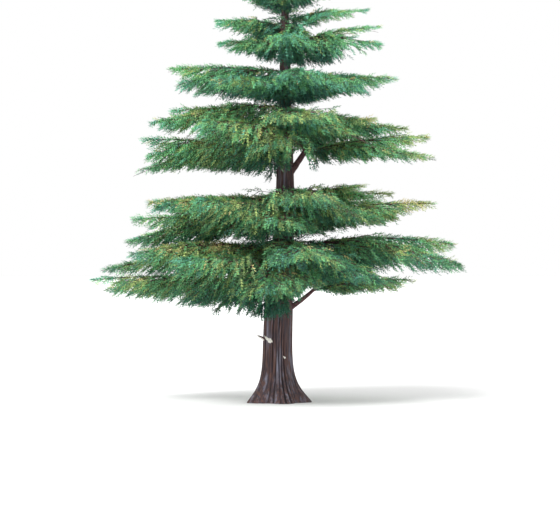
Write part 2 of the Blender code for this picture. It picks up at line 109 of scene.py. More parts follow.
# Bare boughs: a collar at the trunk, and unevenness in waves round and along
COLLAR = 0.5
COLLAR_POWER = 6
UNEVEN = 0.03
UNEVEN_PACE = 41.0
LIMB_SIDES = 18
LIMB_RINGS = 26

# Dead stub: its blunt taper, and the splinters' waves
STUB_SIDES = 16
STUB_RINGS = 20
STUB_FOOT = 1.02
STUB_TAPER = 0.98
STUB_BLUNTNESS = 1.6
SPLINTER = 0.12
SPLINTER_UP = 160.0
SPLINTER_ACROSS = 90.0

# Scars: where they are, how far rims and middles stand over the trunk's round, and how deep they go
Scar = namedtuple("Scar", "name azimuth height width length turn")
SCARS = (
    Scar("torn_tongue", 224.0, 1.59, 0.12, 0.36, 62.0),
    Scar("low_scar", 296.0, 1.14, 0.05, 0.11, 50.0),
    Scar("high_fleck", 251.0, 5.8, 0.035, 0.09, 20.0),
)
SCAR_ROWS = 14
SCAR_COLUMNS = 7
SCAR_SINK = 0.002
SCAR_PROUD = 0.012
SCAR_DEPTH = 0.04
SCAR_POINT = 1.6
SCAR_RAG = 0.18
SCAR_RAG_PACE = 9.0

# Masses of foliage: each has its root at a height on the trunk, or on a bare bough, and a bough to each tip.
# A tip has an azimuth, a reach and a height. The side masses make the picture's outline.
Mass = namedtuple("Mass", "name tier root tips arch floor")
SIDE_MASSES = (
    Mass("left_high", 1, 3.95, ((176, 4.52, 3.28), (204, 4.05, 3.66)), 0.14, 2.8),
    Mass("left_low", 1, 2.85, ((184, 4.76, 3.06), (165, 4.6, 2.76)), 0.16, 2.1),
    Mass("right_high", 1, 3.78, ((8, 4.42, 3.93), (-17, 4.68, 3.36)), 0.25, 2.82),
    Mass("right_low", 1, "bough_lower_right", ((0, 3.38, 3.02), (24, 3.2, 2.86)), 0.14, 2.42),
    Mass("left_high", 2, 5.0, ((177, 3.46, 4.98), (203, 3.45, 4.8)), 0.12, 4.15),
    Mass("left_low", 2, 4.4, ((184, 3.84, 4.56), (166, 4.1, 4.0)), 0.14, 3.55),
    Mass("right_high", 2, 5.18, ((5, 2.7, 5.22), (-19, 2.1, 5.38)), 0.02, 4.55),
    Mass("right_low", 2, 4.5, ((-4, 3.74, 4.95), (16, 2.95, 4.6)), 0.17, 4.05),
    Mass("left_high", 3, 7.38, ((172, 2.9, 7.3), (194, 3.42, 6.92)), 0.04, 6.15),
    Mass("left_low", 3, 6.05, ((187, 3.6, 6.52), (166, 3.98, 5.68), (176, 3.5, 6.1)), 0.18, 5.5),
    Mass("right_high", 3, 7.2, ((5, 3.12, 6.84), (-20, 2.35, 7.02)), -0.03, 6.2),
    Mass("right_low", 3, "bough_upper_right", ((6, 3.66, 6.64), (-13, 3.82, 5.99)), 0.12, 5.72),
    Mass("left", 4, 8.25, ((175, 2.93, 8.34), (194, 2.75, 7.87)), 0.07, 7.5),
    Mass("right", 4, 8.1, ((5, 2.84, 8.08), (-15, 2.15, 7.66)), 0.07, 7.38),
    Mass("left_high", 5, 9.38, ((176, 1.72, 9.55), (199, 1.8, 9.4)), 0.04, 8.9),
    Mass("left_low", 5, 8.85, ((184, 1.66, 8.95), (162, 1.5, 8.82)), 0.06, 8.52),
    Mass("right_high", 5, 9.55, ((4, 2.08, 9.82), (-20, 1.8, 9.62)), 0.02, 9.3),
    Mass("right_low", 5, 8.9, ((-4, 2.38, 9.36), (12, 2.48, 8.97), (-18, 2.1, 8.66)), 0.1, 8.25),
    Mass("left", 6, 10.12, ((178, 1.45, 10.4), (203, 1.15, 10.12)), 0.04, 9.72),
    Mass("right", 6, 10.15, ((2, 1.6, 10.5), (-24, 1.25, 10.16)), 0.04, 9.82),
)

# Where a mass starts along a bare bough, where boughs fork off a stem, and the nodding top
LIMB_ENTRY = 0.94
FORK_FIRST = 0.2
FORK_STEP = 0.12
LEADER_TIER = 9
LEADER_SINK = 0.1
LEADER_FLOOR = 11.7
LEADER_ARCH = 0.03
LEADER_TIPS = ((20, 0.14, 13.02), (175, 0.42, 12.55), (300, 0.4, 12.5), (60, 0.42, 12.46))

# The masses to the front and back of each tier: two azimuths for each, and the tier's sizes
RoundTier = namedtuple("RoundTier", "tier turns root high low reach floors")
FOUR_ROUND = ((106, 144), (76, 40), (266, 234), (279, 319))
TWO_ROUND = ((82, 118), (270, 304))
ROUND_TIERS = (
    RoundTier(1, FOUR_ROUND, 4.0, 3.6, 2.8, 4.0, (2.2, 2.4, 1.85, 2.7)),
    RoundTier(2, FOUR_ROUND, 5.2, 5.0, 4.4, 3.5, (3.85, 4.0, 3.55, 4.15)),
    RoundTier(3, FOUR_ROUND, 7.2, 6.9, 6.2, 3.3, (5.6, 5.9, 5.3, 6.3)),
    RoundTier(4, FOUR_ROUND, 8.1, 7.98, 7.8, 2.6, (7.35, 7.35, 7.25, 7.25)),
    RoundTier(5, TWO_ROUND, 9.35, 9.5, 9.0, 1.95, (8.35, 8.2)),
    RoundTier(6, TWO_ROUND, 10.15, 10.4, 10.15, 1.4, (9.75, 9.75)),
    RoundTier(7, ((350, 32), (100, 150), (222, 275)), 10.8, 11.15, 10.95, 1.1, (10.3, 10.3, 10.3)),
    RoundTier(8, ((345, 20), (105, 140), (225, 260)), 11.42, 11.85, 11.6, 0.78, (10.95, 10.95, 10.95)),
)
ROUND_NAMES = {
    4: ("back_left", "back_right", "front_left", "front_right"),
    3: ("right", "back", "front"),
    2: ("back", "front"),
}
ROUND_SKEW = 0.05
ROUND_ARCH = 0.08
ROUND_STAGGER = 0.4

# A mass's own space is what lies nearest to its boughs and just below them. Heights count for more there.
# A limb may stray from it by a slack, which is more by the trunk, and is cut back once before it is left out.
SPACE_FLATNESS = 1.5
SPACE_HANG = 0.17
SPACE_STEP = 0.08
SPACE_LEAST = 4
LIMB_SLACK = 0.12
SPRAY_SLACK = 0.3
TRUNK_SLACK = 0.45
TRUNK_ROOM = 1.6
SECOND_TRY = 0.55
TIP_CLEARANCE = 0.01

# A mass's floor rises a little away from the trunk, but for two masses, and then up to the tips
FLOOR_RISE = 0.3
LEVEL_FLOORS = ("foliage_2_left_low", "foliage_4_left")
FLOOR_SCATTER = (-0.08, 0.12)
TIP_ZONE = 0.55
TIP_HANG = 0.06
TIP_OVERHANG = 0.06
TIP_SCATTER = (0.96, 1.0)
LEAST_BRANCH = 0.3
LEAST_HANGER = 0.25
LEAST_SPRAY = 0.35

# Where the photograph shows sky or a bare bough past the crown, as corners in x and z. A limb that is in line
# with one at either of these shares of its length is left out.
SKY_TESTS = (0.6, 1.0)
SKY_PATCHES = (
    (
        (0.36, 2.0), (0.36, 2.46), (0.6, 2.59), (0.71, 2.73), (0.88, 2.83), (0.95, 2.8),
        (1.02, 2.73), (1.3, 2.72), (1.44, 2.6), (1.69, 2.6), (1.69, 2.0),
    ),
    (
        (0.36, 5.6), (0.36, 6.22), (0.45, 6.32), (0.61, 6.34),
        (0.72, 6.25), (0.66, 6.0), (0.7, 5.85), (0.7, 5.6),
    ),
    (
        (0.75, 9.33), (1.14, 9.4), (1.49, 9.48), (1.79, 9.56), (2.15, 9.58),
        (2.2, 9.44), (1.71, 9.4), (1.39, 9.35), (1.14, 9.3), (0.85, 9.25),
    ),
    (
        (1.4, 9.03), (1.72, 9.06), (2.06, 9.14), (2.4, 9.26),
        (2.55, 9.18), (2.3, 9.07), (2.06, 9.02), (1.72, 9.0),
    ),
    (
        (1.5, 8.74), (1.74, 8.77), (2.06, 8.79), (2.4, 8.86),
        (2.7, 8.7), (2.26, 8.68), (1.8, 8.68), (1.55, 8.68),
    ),
)

# Under-boughs fork off each bough by the trunk. Each level hangs a share of the way down to the floor, and
# ends at a share of the bough, from a nearest to a farthest.
UNDER_LEVELS = ((0.45, 0.65, 0.92), (0.9, 0.3, 0.6), (0.95, 0.14, 0.35), (1.0, 0.08, 0.2))
UNDER_FORKS = (0.04, 0.14)
UNDER_SWING = math.radians(11.0)
UNDER_SWINGS = (0.4, 1.2)
UNDER_DEPTHS = (0.8, 1.1)
UNDER_ARCH = 0.1
UNDER_SPACING = 2.4

# Where a limb grows within its share of its parent
PLACE_SCATTER = (0.1, 0.9)

# Side branches: where on a bough, how long by the share along it, their angle and how they hang
BRANCH_FIRST = 0.05
BRANCH_LAST = 0.985
BRANCH_INNER = 0.4
BRANCH_CLOSING = 0.5
BRANCH_OUTER = 0.6
BRANCH_TIP = 0.03
BRANCH_LENGTHS = (0.75, 1.1)
BRANCH_LEAST = 0.18
SIDE_ANGLE = math.radians(66.0)
SIDE_CLOSING = math.radians(42.0)
SIDE_ANGLES = (0.8, 1.15)
DROOP_INNER = 0.75
DROOP_OUTER = 0.2
DROOPS = (-0.3, 1.0)
ALL_ROUND = (-3.1, 3.1)
SAGS = (0.0, 0.25)

# Hanging branchlets, steeper by the trunk
HANGER_LAST = 0.95
HANGER_ANGLES = (0.05, 0.7)
HANGER_ROLLS = (-0.3, 0.3)
HANGS = (0.3, 1.1)
HANGER_SAGS = (0.0, 0.4)
HANGER_DEPTHS = (0.4, 1.15)
LEAST_DROP = 0.35
SHORTEST_HANGER = 0.15
LONGEST_HANGER = 0.85
TRUNK_DROOP = 0.9
OUTWARD_PULL = 0.55

# How sprays grow: those on boughs, on the trunk's shoots and on hanging branchlets, and three lots on limbs,
# which stand over them, lie level and hang. They shorten and close towards a limb's tip.
Habit = namedtuple("Habit", "spacing first length angle hang")
BOUGH_SPRAYS = Habit(0.2, 0.02, (0.5, 0.85), (0.1, 0.9), (-0.9, 0.2))
SHOOT_SPRAYS = Habit(0.5, 0.1, (0.5, 0.9), (0.3, 1.0), (-0.2, 0.5))
HUNG_SPRAYS = Habit(1.0, 0.0, (0.55, 1.0), (0.1, 0.9), (0.0, 0.9))
LIMB_HABITS = (
    Habit(1.6, 0.03, (0.4, 0.75), (0.2, 0.9), (-0.75, -0.15)),
    Habit(1.35, 0.03, (0.6, 1.0), (0.45, 1.0), (-0.1, 0.5)),
    Habit(1.4, 0.0, (0.7, 1.1), (0.15, 0.8), (0.5, 1.5)),
)
SPRAY_SHORTENING = 0.35
SPRAY_CLOSING = 0.45
SPRAY_ROLLS = (-0.5, 0.5)
SPRAY_LEAST = 0.12
SPRAY_LIMIT = 0.6
END_LEAST = 0.15
END_LIMIT = 0.4
END_LENGTHS = (0.6, 0.95)
END_START = 0.97
END_OVERLAP = 0.8
END_SAG = 0.1
END_HANGS = (0.0, 0.25)

# Short shoots dress the trunk's top, and the stretches where a tier closes in front of it. Each is turned
# from the last, and they are longest at the foot of a stretch.
Stretch = namedtuple("Stretch", "mass low high first_reach last_reach")
STRETCHES = (
    Stretch("leader", 10.5, 12.92, 0.66, 0.16),
    Stretch("foliage_5_front", 9.2, 9.68, 0.6, 0.42),
    Stretch("foliage_3_left_high", 6.85, 7.2, 0.8, 0.6),
    Stretch("foliage_2_left_low", 3.75, 4.1, 1.5, 1.2),
)
SHOOT_SPACING = 0.016
SHOOT_LAST = 0.98
SHOOT_LENGTHS = (0.7, 1.1)
SHOOT_ANGLE = math.radians(72.0)
SHOOT_CLOSING = math.radians(35.0)
SHOOT_SAGS = (0.2, 0.5)
GOLDEN_TURN = math.radians(137.5)

# Tubes of boughs and branches: sides, rings, and how thick they are by their length
BOUGH_RADIUS_SHARE = 0.0062
BOUGH_LEAST_RADIUS = 0.004
BOUGH_TAPER = 0.85
BOUGH_SIDES = 7
BOUGH_RINGS = 12
BRANCH_RADIUS = 0.012
BRANCH_TAPER = 0.7
BRANCH_SIDES = 3
BRANCH_RINGS = 3
TWIG_RADIUS = 0.004

# Needles: pairs of tufts on a spray, their sweep towards its tip, and their lengths along it. A tuft stands
# for many needles, because single ones of 25 to 50 mm are too fine to show.
TUFT_PAIRS = 6
TUFT_START = 0.3
SWEEP_FOOT = math.radians(42.0)
SWEEP_TIP = math.radians(12.0)
SWEEP_CURVE = 1.5
TUFT_ROLL = 0.75
TUFT_ROLLS = (-0.3, 0.3)
SPRAY_TURNS = (-0.6, 0.6)
SPRAY_SIZES = (0.85, 1.15)
TUFT_LENGTHS = (0.8, 1.2)
TUFT_PROFILE = (0.8, 0.5, 0.55)
PIECE_LIMIT = 185000

# A spray's stalk: its corners' shares along it, and to its side by the stalk's radius
STALK_CORNERS = ((0.0, 1.0), (0.0, -1.0), (0.5, 0.7), (0.5, -0.7), (0.97, 0.0))

# Tints of needles: each hue has this many steps from its dark to its light. The light falls off inside,
# below and by the trunk. Sprays lean to warm or cool by tier, mass and place: tips lean to yellow-green low
# on the right and to blue-green elsewhere. A set of patches has a strength, a size and a turn.
TINT_STEPS = 5
TINT_CURVE = 1.7
HUES = ("cool", "green", "warm")
TINT_PLACE = 0.6
LIGHT_PATCHES = (0.16, 0.5, 0.7)
WARM_PATCHES = (0.6, 0.8, 2.9)
SUN_PATCHES = (0.5, 0.7, 1.3)
TRUNK_SHADE = 1.4
DEPTH_LIGHT = 0.66
OUTER_LIGHT = 0.2
OUTER_RISE = 1.2
TRUNK_GLOOM = 0.15
LIGHT_SCATTER = 0.22
LIGHT_LOSS = 0.13
FRONT_SHADE = 0.1
HIGHER_LIGHT = 0.04
LIGHTEST_TIER = 5
TIER_WARMTH = {1: 0.12, 2: 0.08, 3: 0.12, 4: -0.4, 5: -0.25, 6: -0.25, 7: -0.2, 8: -0.15, 9: -0.05}
MASS_WARMTH = {"foliage_1_right_high": -0.15, "foliage_1_front_right": -0.1, "foliage_2_right_low": 0.3}
WARMTH_SCATTER = 0.35
CREST_WARMTH = 0.55
CREST_START = 0.6
TIP_START = 0.75
WARM_TIPS_BELOW = 7.4
WARM_TIPS = 0.4
COOL_TIPS = -0.5
WARM_FROM = 0.4
COOL_UP_TO = -0.45

# Ochre sprays on the tops of some masses, by chance and in patches: painted sunlit highlights
SUNLIT = {
    "foliage_1_left_high": 0.38,
    "foliage_2_left_high": 0.38,
    "foliage_2_right_low": 0.3,
    "foliage_3_left_high": 0.25,
    "foliage_3_right_high": 0.3,
}
SUN_SCATTER = 0.3
SUN_LEAST = 0.75
SUN_DEPTH = 0.78

# The studio
FLOOR_HALF = 400.0
FLOOR_DROP = 0.001
KEY_COURSE = (0.45, 0.75, -0.95)
KEY_ANGLE = math.radians(25.0)
SENSOR_WIDTH = 36.0
VIEW_END = 2000.0


def smooth(share):
    """A soft step from 0 to 1."""
    share = np.clip(share, 0.0, 1.0)
    return share * share * (3.0 - 2.0 * share)


def flare_share(height):
    """How much of the foot's flare is left at a height."""
    return np.exp(-((np.maximum(height, 0.0) / FLARE_HEIGHT) ** FLARE_POWER))


def trunk_radius(height):
    """The trunk's mean radius at a height."""
    taper = TRUNK_RADIUS * (1.0 - height / TAPER_END)
    swell = SWELL * np.exp(-(((height - SWELL_HEIGHT) / SWELL_SPREAD) ** 2))
    return taper + swell + FLARE * flare_share(height)


def trunk_middle(height):
    """The middle of the trunk at one height or at many."""
    height = np.asarray(height, dtype=float)
    lean = TRUNK_LEAN * smooth((height - LEAN_START) / (LEAN_END - LEAN_START))
    return np.stack((lean, np.zeros_like(height), height), axis=-1)


def round_trunk(angle, reach, height):
    """One place or many, at an angle in radians and a reach from the trunk's middle."""
    places = trunk_middle(height)
    places[..., 0] += reach * np.cos(angle)
    places[..., 1] += reach * np.sin(angle)
    return places


def around(azimuth, reach, height):
    """A place at a reach from the trunk's middle, by its azimuth in degrees."""
    return round_trunk(math.radians(azimuth), reach, height)


def unit(vectors):
    """Vectors brought to a length of one."""
    return vectors / np.maximum(np.linalg.norm(vectors, axis=-1, keepdims=True), TINY)


def linear(colour):
    """An sRGB colour, written as #rrggbb, as linear red, green and blue."""
    shares = (int(colour[place : place + 2], 16) / 255.0 for place in (1, 3, 5))
    return tuple(s / 12.92 if s <= 0.04045 else ((s + 0.055) / 1.055) ** 2.4 for s in shares)


class Limbs:
    """Many limbs at once. Each is a parabola, and belongs to a bough."""

    def __init__(self, start, go, fall, bough):
        self.start = np.asarray(start, dtype=float)
        self.go = np.asarray(go, dtype=float)
        self.fall = np.asarray(fall, dtype=float)
        self.bough = np.asarray(bough)

    def __len__(self):
        return len(self.bough)

    def pick(self, chosen):
        """Some of the limbs, by a mask or by their numbers."""
        return Limbs(self.start[chosen], self.go[chosen], self.fall[chosen], self.bough[chosen])

    def at(self, share):
        """A point on each limb, at a share of its length."""
        share = np.broadcast_to(share, len(self))[:, None]
        return self.start + self.go * share + self.fall * share**2

    def along(self, share):
        """The direction of each limb at a share of its length."""
        share = np.broadcast_to(share, len(self))[:, None]
        return unit(self.go + 2.0 * self.fall * share)

    def frame(self, share, nudge=0.0):
        """The directions along each limb, level across it and over it."""
        along = self.along(share)
        across = unit(np.cross(along, UP) + nudge)
        return along, across, np.cross(across, along)

    def length(self):
        """The length of each limb, near enough."""
        return np.linalg.norm(self.go + self.fall, axis=1)

    def shortened(self, scale):
        """The limbs, cut back to a share of their length."""
        scale = np.broadcast_to(scale, len(self))[:, None]
        return Limbs(self.start, self.go * scale, self.fall * scale**2, self.bough)


def joined(*lots):
    """Several lots of limbs as one."""
    kinds = ("start", "go", "fall", "bough")
    return Limbs(*(np.concatenate([getattr(limbs, kind) for limbs in lots]) for kind in kinds))


def limbs_between(starts, ends, arch, bough):
    """Limbs from starts to ends, which stand arch above the straight lines between them."""
    rise = np.broadcast_to(4.0 * arch * UP, np.shape(ends))
    return Limbs(starts, np.asarray(ends) - starts + rise, -rise, bough)


def bare_limb(limb):
    """The middle of a bare bough, from inside the trunk to its tip."""
    end = around(limb.azimuth, limb.reach, limb.height + limb.rise)
    return limbs_between([trunk_middle(limb.height)], [end], limb.arch, [0])


def round_masses():
    """The masses to the front and back, worked out from each tier's sizes."""
    masses = []
    for sizes in ROUND_TIERS:
        names = ROUND_NAMES[len(sizes.turns)]
        for number, (first, second) in enumerate(sizes.turns):
            skew = ROUND_SKEW * (1 if number % 2 else -1)
            high, low = sizes.high + skew, sizes.low - skew
            heights = (low, high) if number % 3 else (high, low)
            reaches = (sizes.reach * (1.0 + skew), sizes.reach * (1.0 - skew))
            tips = tuple(zip((first, second), reaches, heights))
            root = sizes.root - (ROUND_STAGGER if number % 3 else 0.0)
            masses.append(Mass(names[number], sizes.tier, root, tips, ROUND_ARCH, sizes.floors[number]))
    return masses


def all_masses():
    """Every mass of foliage, the leader last."""
    leader = Mass("leader", LEADER_TIER, TRUNK_TOP - LEADER_SINK, LEADER_TIPS, LEADER_ARCH, LEADER_FLOOR)
    return [*SIDE_MASSES, *round_masses(), leader]


def node_of(mass):
    """The name of a mass's solid."""
    return mass.name if mass.tier == LEADER_TIER else f"foliage_{mass.tier}_{mass.name}"


def boughs_of(masses):
    """The boughs of all the masses, and the mass of each. The first is the stem, and others fork off it."""
    entries = {limb.name: bare_limb(limb).at(LIMB_ENTRY)[0] for limb in BARE_LIMBS}
    boughs = []
    owners = []
    for owner, mass in enumerate(masses):
        root = entries[mass.root] if mass.root in entries else trunk_middle(mass.root)
        stem = len(boughs)
        for number, tip in enumerate(mass.tips):
            start = boughs[stem].at(FORK_FIRST + FORK_STEP * (number - 1))[0] if number else root
            boughs.append(limbs_between([start], [around(*tip)], mass.arch, [len(boughs)]))
            owners.append(owner)
    return joined(*boughs), np.array(owners)


def outward(places):
    """How far each place is from the trunk's middle."""
    return np.linalg.norm((places - trunk_middle(places[:, 2]))[:, :2], axis=1)


def clear_of_trunk(places, room):
    """Whether each place is outside the trunk, by some room."""
    heights = np.minimum(places[:, 2], TRUNK_TOP)
    return (outward(places) > trunk_radius(heights) + room) | (places[:, 2] > TRUNK_TOP)


def shows_sky(places):
    """Whether each place is in line with a patch of sky or bare bough in the photograph."""
    x, z = places[:, 0], places[:, 2]
    shown = np.zeros(len(places), dtype=bool)
    for corners in SKY_PATCHES:
        inside = np.zeros(len(places), dtype=bool)
        for (x_1, z_1), (x_2, z_2) in zip(corners, corners[1:] + corners[:1]):
            crossed = (z_1 > z) != (z_2 > z)
            inside ^= crossed & (x < x_1 + (x_2 - x_1) * (z - z_1) / ((z_2 - z_1) or 1.0))
        shown |= inside
    return shown


def tree_of(places):
    """A tree that finds the nearest of some places."""
    tree = KDTree(len(places))
    for number, place in enumerate(places):
        tree.insert(place, number)
    tree.balance()
    return tree


class Crown:
    """What bounds each mass: its own space, its floor and its reach."""

    def __init__(self, masses, boughs, owners):
        self.owners = owners
        self.floors = np.array([mass.floor for mass in masses])
        self.rises = np.array([0.0 if node_of(mass) in LEVEL_FLOORS else FLOOR_RISE for mass in masses])
        self.tips = boughs.at(1.0)
        self.reaches = outward(self.tips)
        self.crests = boughs.at(0.5)[:, 2]
        self.flatten = np.array((1.0, 1.0, SPACE_FLATNESS))
        places = []
        self.place_owners = []
        for number in range(len(boughs)):
            bough = boughs.pick([number])
            for share in np.linspace(0.0, 1.0, int(bough.length()[0] / SPACE_STEP) + SPACE_LEAST):
                places.append((bough.at(share)[0] - UP * SPACE_HANG * smooth(2.0 * share)) * self.flatten)
                self.place_owners.append(owners[number])
        self.every = tree_of(places)
        self.trees = {}
        for owner in set(self.place_owners):
            own = [place for place, other in zip(places, self.place_owners) if other == owner]
            self.trees[owner] = tree_of(own)

    def hold(self, limbs, slack):
        """Whether each limb's tip keeps to its mass's space, or strays from it by less than its slack."""
        tips = limbs.at(1.0)
        slack = slack + TRUNK_SLACK * smooth(1.0 - outward(tips) / TRUNK_ROOM)
        held = np.zeros(len(limbs), dtype=bool)
        for number, (place, owner) in enumerate(zip(tips * self.flatten, self.owners[limbs.bough])):
            _, nearest, apart = self.every.find(place)
            if self.place_owners[nearest] == owner:
                held[number] = True
            else:
                held[number] = self.trees[owner].find(place)[2] - apart < slack[number]
        return held

    def floor_at(self, places, boughs):
        """The lowest that foliage hangs at a place: its mass's floor, which rises to the bough's tip."""
        near_tip = np.clip((outward(places) / self.reaches[boughs] - TIP_ZONE) / (1.0 - TIP_ZONE), 0.0, 1.0)
        owners = self.owners[boughs]
        floors = self.floors[owners] + self.rises[owners] * smooth(outward(places) / TRUNK_ROOM)
        lift = np.maximum(self.tips[boughs, 2] - TIP_HANG - floors, 0.0)
        return floors + lift * near_tip

    def fitted(self, limbs, least, chance):
        """The limbs, cut back to their mass's floor and reach. Those left too short are left out."""
        ends = limbs.at(1.0)
        drop = np.maximum(limbs.start[:, 2] - ends[:, 2], NUDGE)
        room = limbs.start[:, 2] - self.floor_at(ends, limbs.bough)
        room = room - chance.uniform(*FLOOR_SCATTER, len(limbs))
        scale = np.where(room < drop, np.clip(room / drop, 0.0, 1.0), 1.0)
        inner = outward(limbs.start)
        gain = np.maximum(outward(ends) - inner, NUDGE)
        spare = self.reaches[limbs.bough] * chance.uniform(*TIP_SCATTER, len(limbs)) + TIP_OVERHANG - inner
        scale = np.minimum(scale, np.where(spare < gain, np.clip(spare / gain, 0.0, 1.0), 1.0))
        return limbs.shortened(scale).pick(scale > least)

    def kept(self, limbs, slack):
        """The limbs that keep to their space, off the trunk and out of the sky, cut back where that helps."""
        scale = np.where(self.hold(limbs, slack), 1.0, SECOND_TRY)
        limbs = limbs.shortened(scale)
        strayed = np.flatnonzero(scale < 1.0)
        held = np.ones(len(limbs), dtype=bool)
        held[strayed] = self.hold(limbs.pick(strayed), slack)
        held &= clear_of_trunk(limbs.at(0.5), 0.0) & clear_of_trunk(limbs.at(1.0), TIP_CLEARANCE)
        for share in SKY_TESTS:
            held &= ~shows_sky(limbs.at(share))
        return limbs.pick(held)


def drawn(chance, limbs):
    """A function that draws a number from a range for each of some limbs."""
    return lambda span: chance.uniform(*span, len(limbs))


def places_along(parents, spacing, first, last, chance):
    """Where limbs grow on their parents: the parent of each, the share along it, and the side."""
    counts = np.maximum(1, np.round(parents.length() * (last - first) / spacing)).astype(int)
    parent = np.repeat(np.arange(len(parents)), counts)
    step = np.arange(len(parent)) - np.repeat(np.cumsum(counts) - counts, counts)
    share = first + (last - first) * (step + chance.uniform(*PLACE_SCATTER, len(parent))) / counts[parent]
    side = np.where((step + parent) % 2 == 0, 1.0, -1.0)
    return parents.pick(parent), share, side


def grow(parents, share, side, angle, roll, hang, reach, sag):
    """One new limb on each parent, at an angle to one side, rolled round it and hanging."""
    along, across, over = parents.frame(share)
    aside = across * np.cos(roll)[:, None] + over * np.sin(roll)[:, None]
    course = along * np.cos(angle)[:, None] + aside * (side * np.sin(angle))[:, None]
    course = unit(course - UP * hang[:, None])
    go = course * reach[:, None]
    return Limbs(parents.at(share), go, -UP * (sag * reach)[:, None], parents.bough)


def drawn_out(limbs):
    """The limbs, turned to point more away from the trunk."""
    away = limbs.start - trunk_middle(limbs.start[:, 2])
    away = unit(away * (1.0, 1.0, 0.0))
    length = np.linalg.norm(limbs.go, axis=1, keepdims=True)
    course = unit(limbs.go / length + away * OUTWARD_PULL)
    return Limbs(limbs.start, course * length, limbs.fall, limbs.bough)


def under_boughs(boughs, crown, chance):
    """Lower boughs. They fork off each bough by the trunk, and fill its mass in levels down to its floor."""
    made = []
    draw = drawn(chance, boughs)
    for level, nearest, farthest in UNDER_LEVELS:
        for side in (1.0, -1.0):
            start = boughs.at(draw(UNDER_FORKS))
            middle = trunk_middle(start[:, 2])
            spoke = boughs.at(draw((nearest, farthest))) - middle
            swing = side * UNDER_SWING * draw(UNDER_SWINGS)
            across = np.stack((-spoke[:, 1], spoke[:, 0], np.zeros(len(boughs))), axis=1)
            end = middle + spoke * (1.0, 1.0, 0.0) * np.cos(swing)[:, None] + across * np.sin(swing)[:, None]
            top = (middle + spoke)[:, 2]
            depth = level * draw(UNDER_DEPTHS)
            end[:, 2] = top - depth * (top - crown.floor_at(end, boughs.bough))
            made.append(limbs_between(start, end, UNDER_ARCH, boughs.bough))
    return joined(*made)


def branches_on(boughs, leader, spacing, chance):
    """The side branches of every bough, which shorten towards its tip. The leader's stand all round."""
    parents, share, side = places_along(boughs, spacing, BRANCH_FIRST, BRANCH_LAST, chance)
    draw = drawn(chance, parents)
    inner = BRANCH_INNER * (1.0 - BRANCH_CLOSING * share)
    outer = BRANCH_OUTER * (1.0 - share) + BRANCH_TIP
    widest = parents.length() * np.minimum(inner, outer)
    reach = widest * draw(BRANCH_LENGTHS) + BRANCH_LEAST
    angle = (SIDE_ANGLE - SIDE_CLOSING * share) * draw(SIDE_ANGLES)
    hang = DROOP_INNER + (DROOP_OUTER - DROOP_INNER) * smooth(2.0 * share)
    hang = hang * draw(DROOPS)
    roll = np.where(np.isin(parents.bough, leader), draw(ALL_ROUND), 0.0)
    return grow(parents, share, side, angle, roll, hang, reach, draw(SAGS))


def hangers_on(parents, crown, spacing, chance):
    """Hanging branchlets, which fill a mass from its branches down to its floor."""
    parents, share, side = places_along(parents, spacing, 0.0, HANGER_LAST, chance)
    draw = drawn(chance, parents)
    start = parents.at(share)
    angle = draw(HANGER_ANGLES)
    roll = draw(HANGER_ROLLS)
    hang = draw(HANGS) + TRUNK_DROOP * smooth(1.0 - outward(start) / TRUNK_ROOM)
    sag = draw(HANGER_SAGS)
    hangers = drawn_out(grow(parents, share, side, angle, roll, hang, np.ones(len(parents)), sag))
    depth = start[:, 2] - crown.floor_at(start, parents.bough)
    drop = np.maximum(start[:, 2] - hangers.at(1.0)[:, 2], LEAST_DROP)
    length = depth * draw(HANGER_DEPTHS) / drop
    return hangers.shortened(np.clip(length, SHORTEST_HANGER, LONGEST_HANGER))


def sprays_on(parents, sizes, habit, chance):
    """Sprays along limbs, by their habit."""
    spacing = sizes.spray_spacing * habit.spacing
    parents, share, side = places_along(parents, spacing, habit.first, 1.0, chance)
    draw = drawn(chance, parents)
    reach = sizes.spray_length * draw(habit.length) * (1.0 - SPRAY_SHORTENING * share)
    reach = np.minimum(reach, SPRAY_LEAST + SPRAY_LIMIT * parents.length())
    angle = draw(habit.angle) * (1.0 - SPRAY_CLOSING * share)
    hang = draw(habit.hang)
    roll = draw(SPRAY_ROLLS)
    return drawn_out(grow(parents, share, side, angle, roll, hang, reach, draw(SAGS)))


def end_sprays(parents, sizes, chance):
    """One spray on each limb's own line, which ends just past the limb's end."""
    count = len(parents)
    draw = drawn(chance, parents)
    flat = np.zeros(count)
    reach = sizes.spray_length * draw(END_LENGTHS)
    reach = np.minimum(reach, END_LEAST + END_LIMIT * parents.length())
    hang = draw(END_HANGS)
    share = np.full(count, END_START)
    ends = grow(parents, share, np.ones(count), flat, flat, hang, reach, np.full(count, END_SAG))
    return Limbs(ends.start - END_OVERLAP * ends.go, ends.go, ends.fall, ends.bough)


def shoots_on(stretch, bough, chance):
    """Short shoots all round a stretch of the trunk, which belong to a bough."""
    stem = limbs_between([trunk_middle(stretch.low)], [trunk_middle(stretch.high)], 0.0, [bough])
    parents, share, _ = places_along(stem, SHOOT_SPACING, 0.0, SHOOT_LAST, chance)
    count = len(parents)
    draw = drawn(chance, parents)
    reach = stretch.last_reach + (stretch.first_reach - stretch.last_reach) * (1.0 - share)
    reach = reach * draw(SHOOT_LENGTHS)
    angle = SHOOT_ANGLE - SHOOT_CLOSING * share
    turn = np.arange(count) * GOLDEN_TURN
    flat = np.stack((np.cos(turn), np.sin(turn), np.zeros(count)), axis=1)
    course = flat * np.sin(angle)[:, None] + UP * np.cos(angle)[:, None]
    fall = -UP * (draw(SHOOT_SAGS) * reach)[:, None]
    return Limbs(parents.at(share), course * reach[:, None], fall, parents.bough)


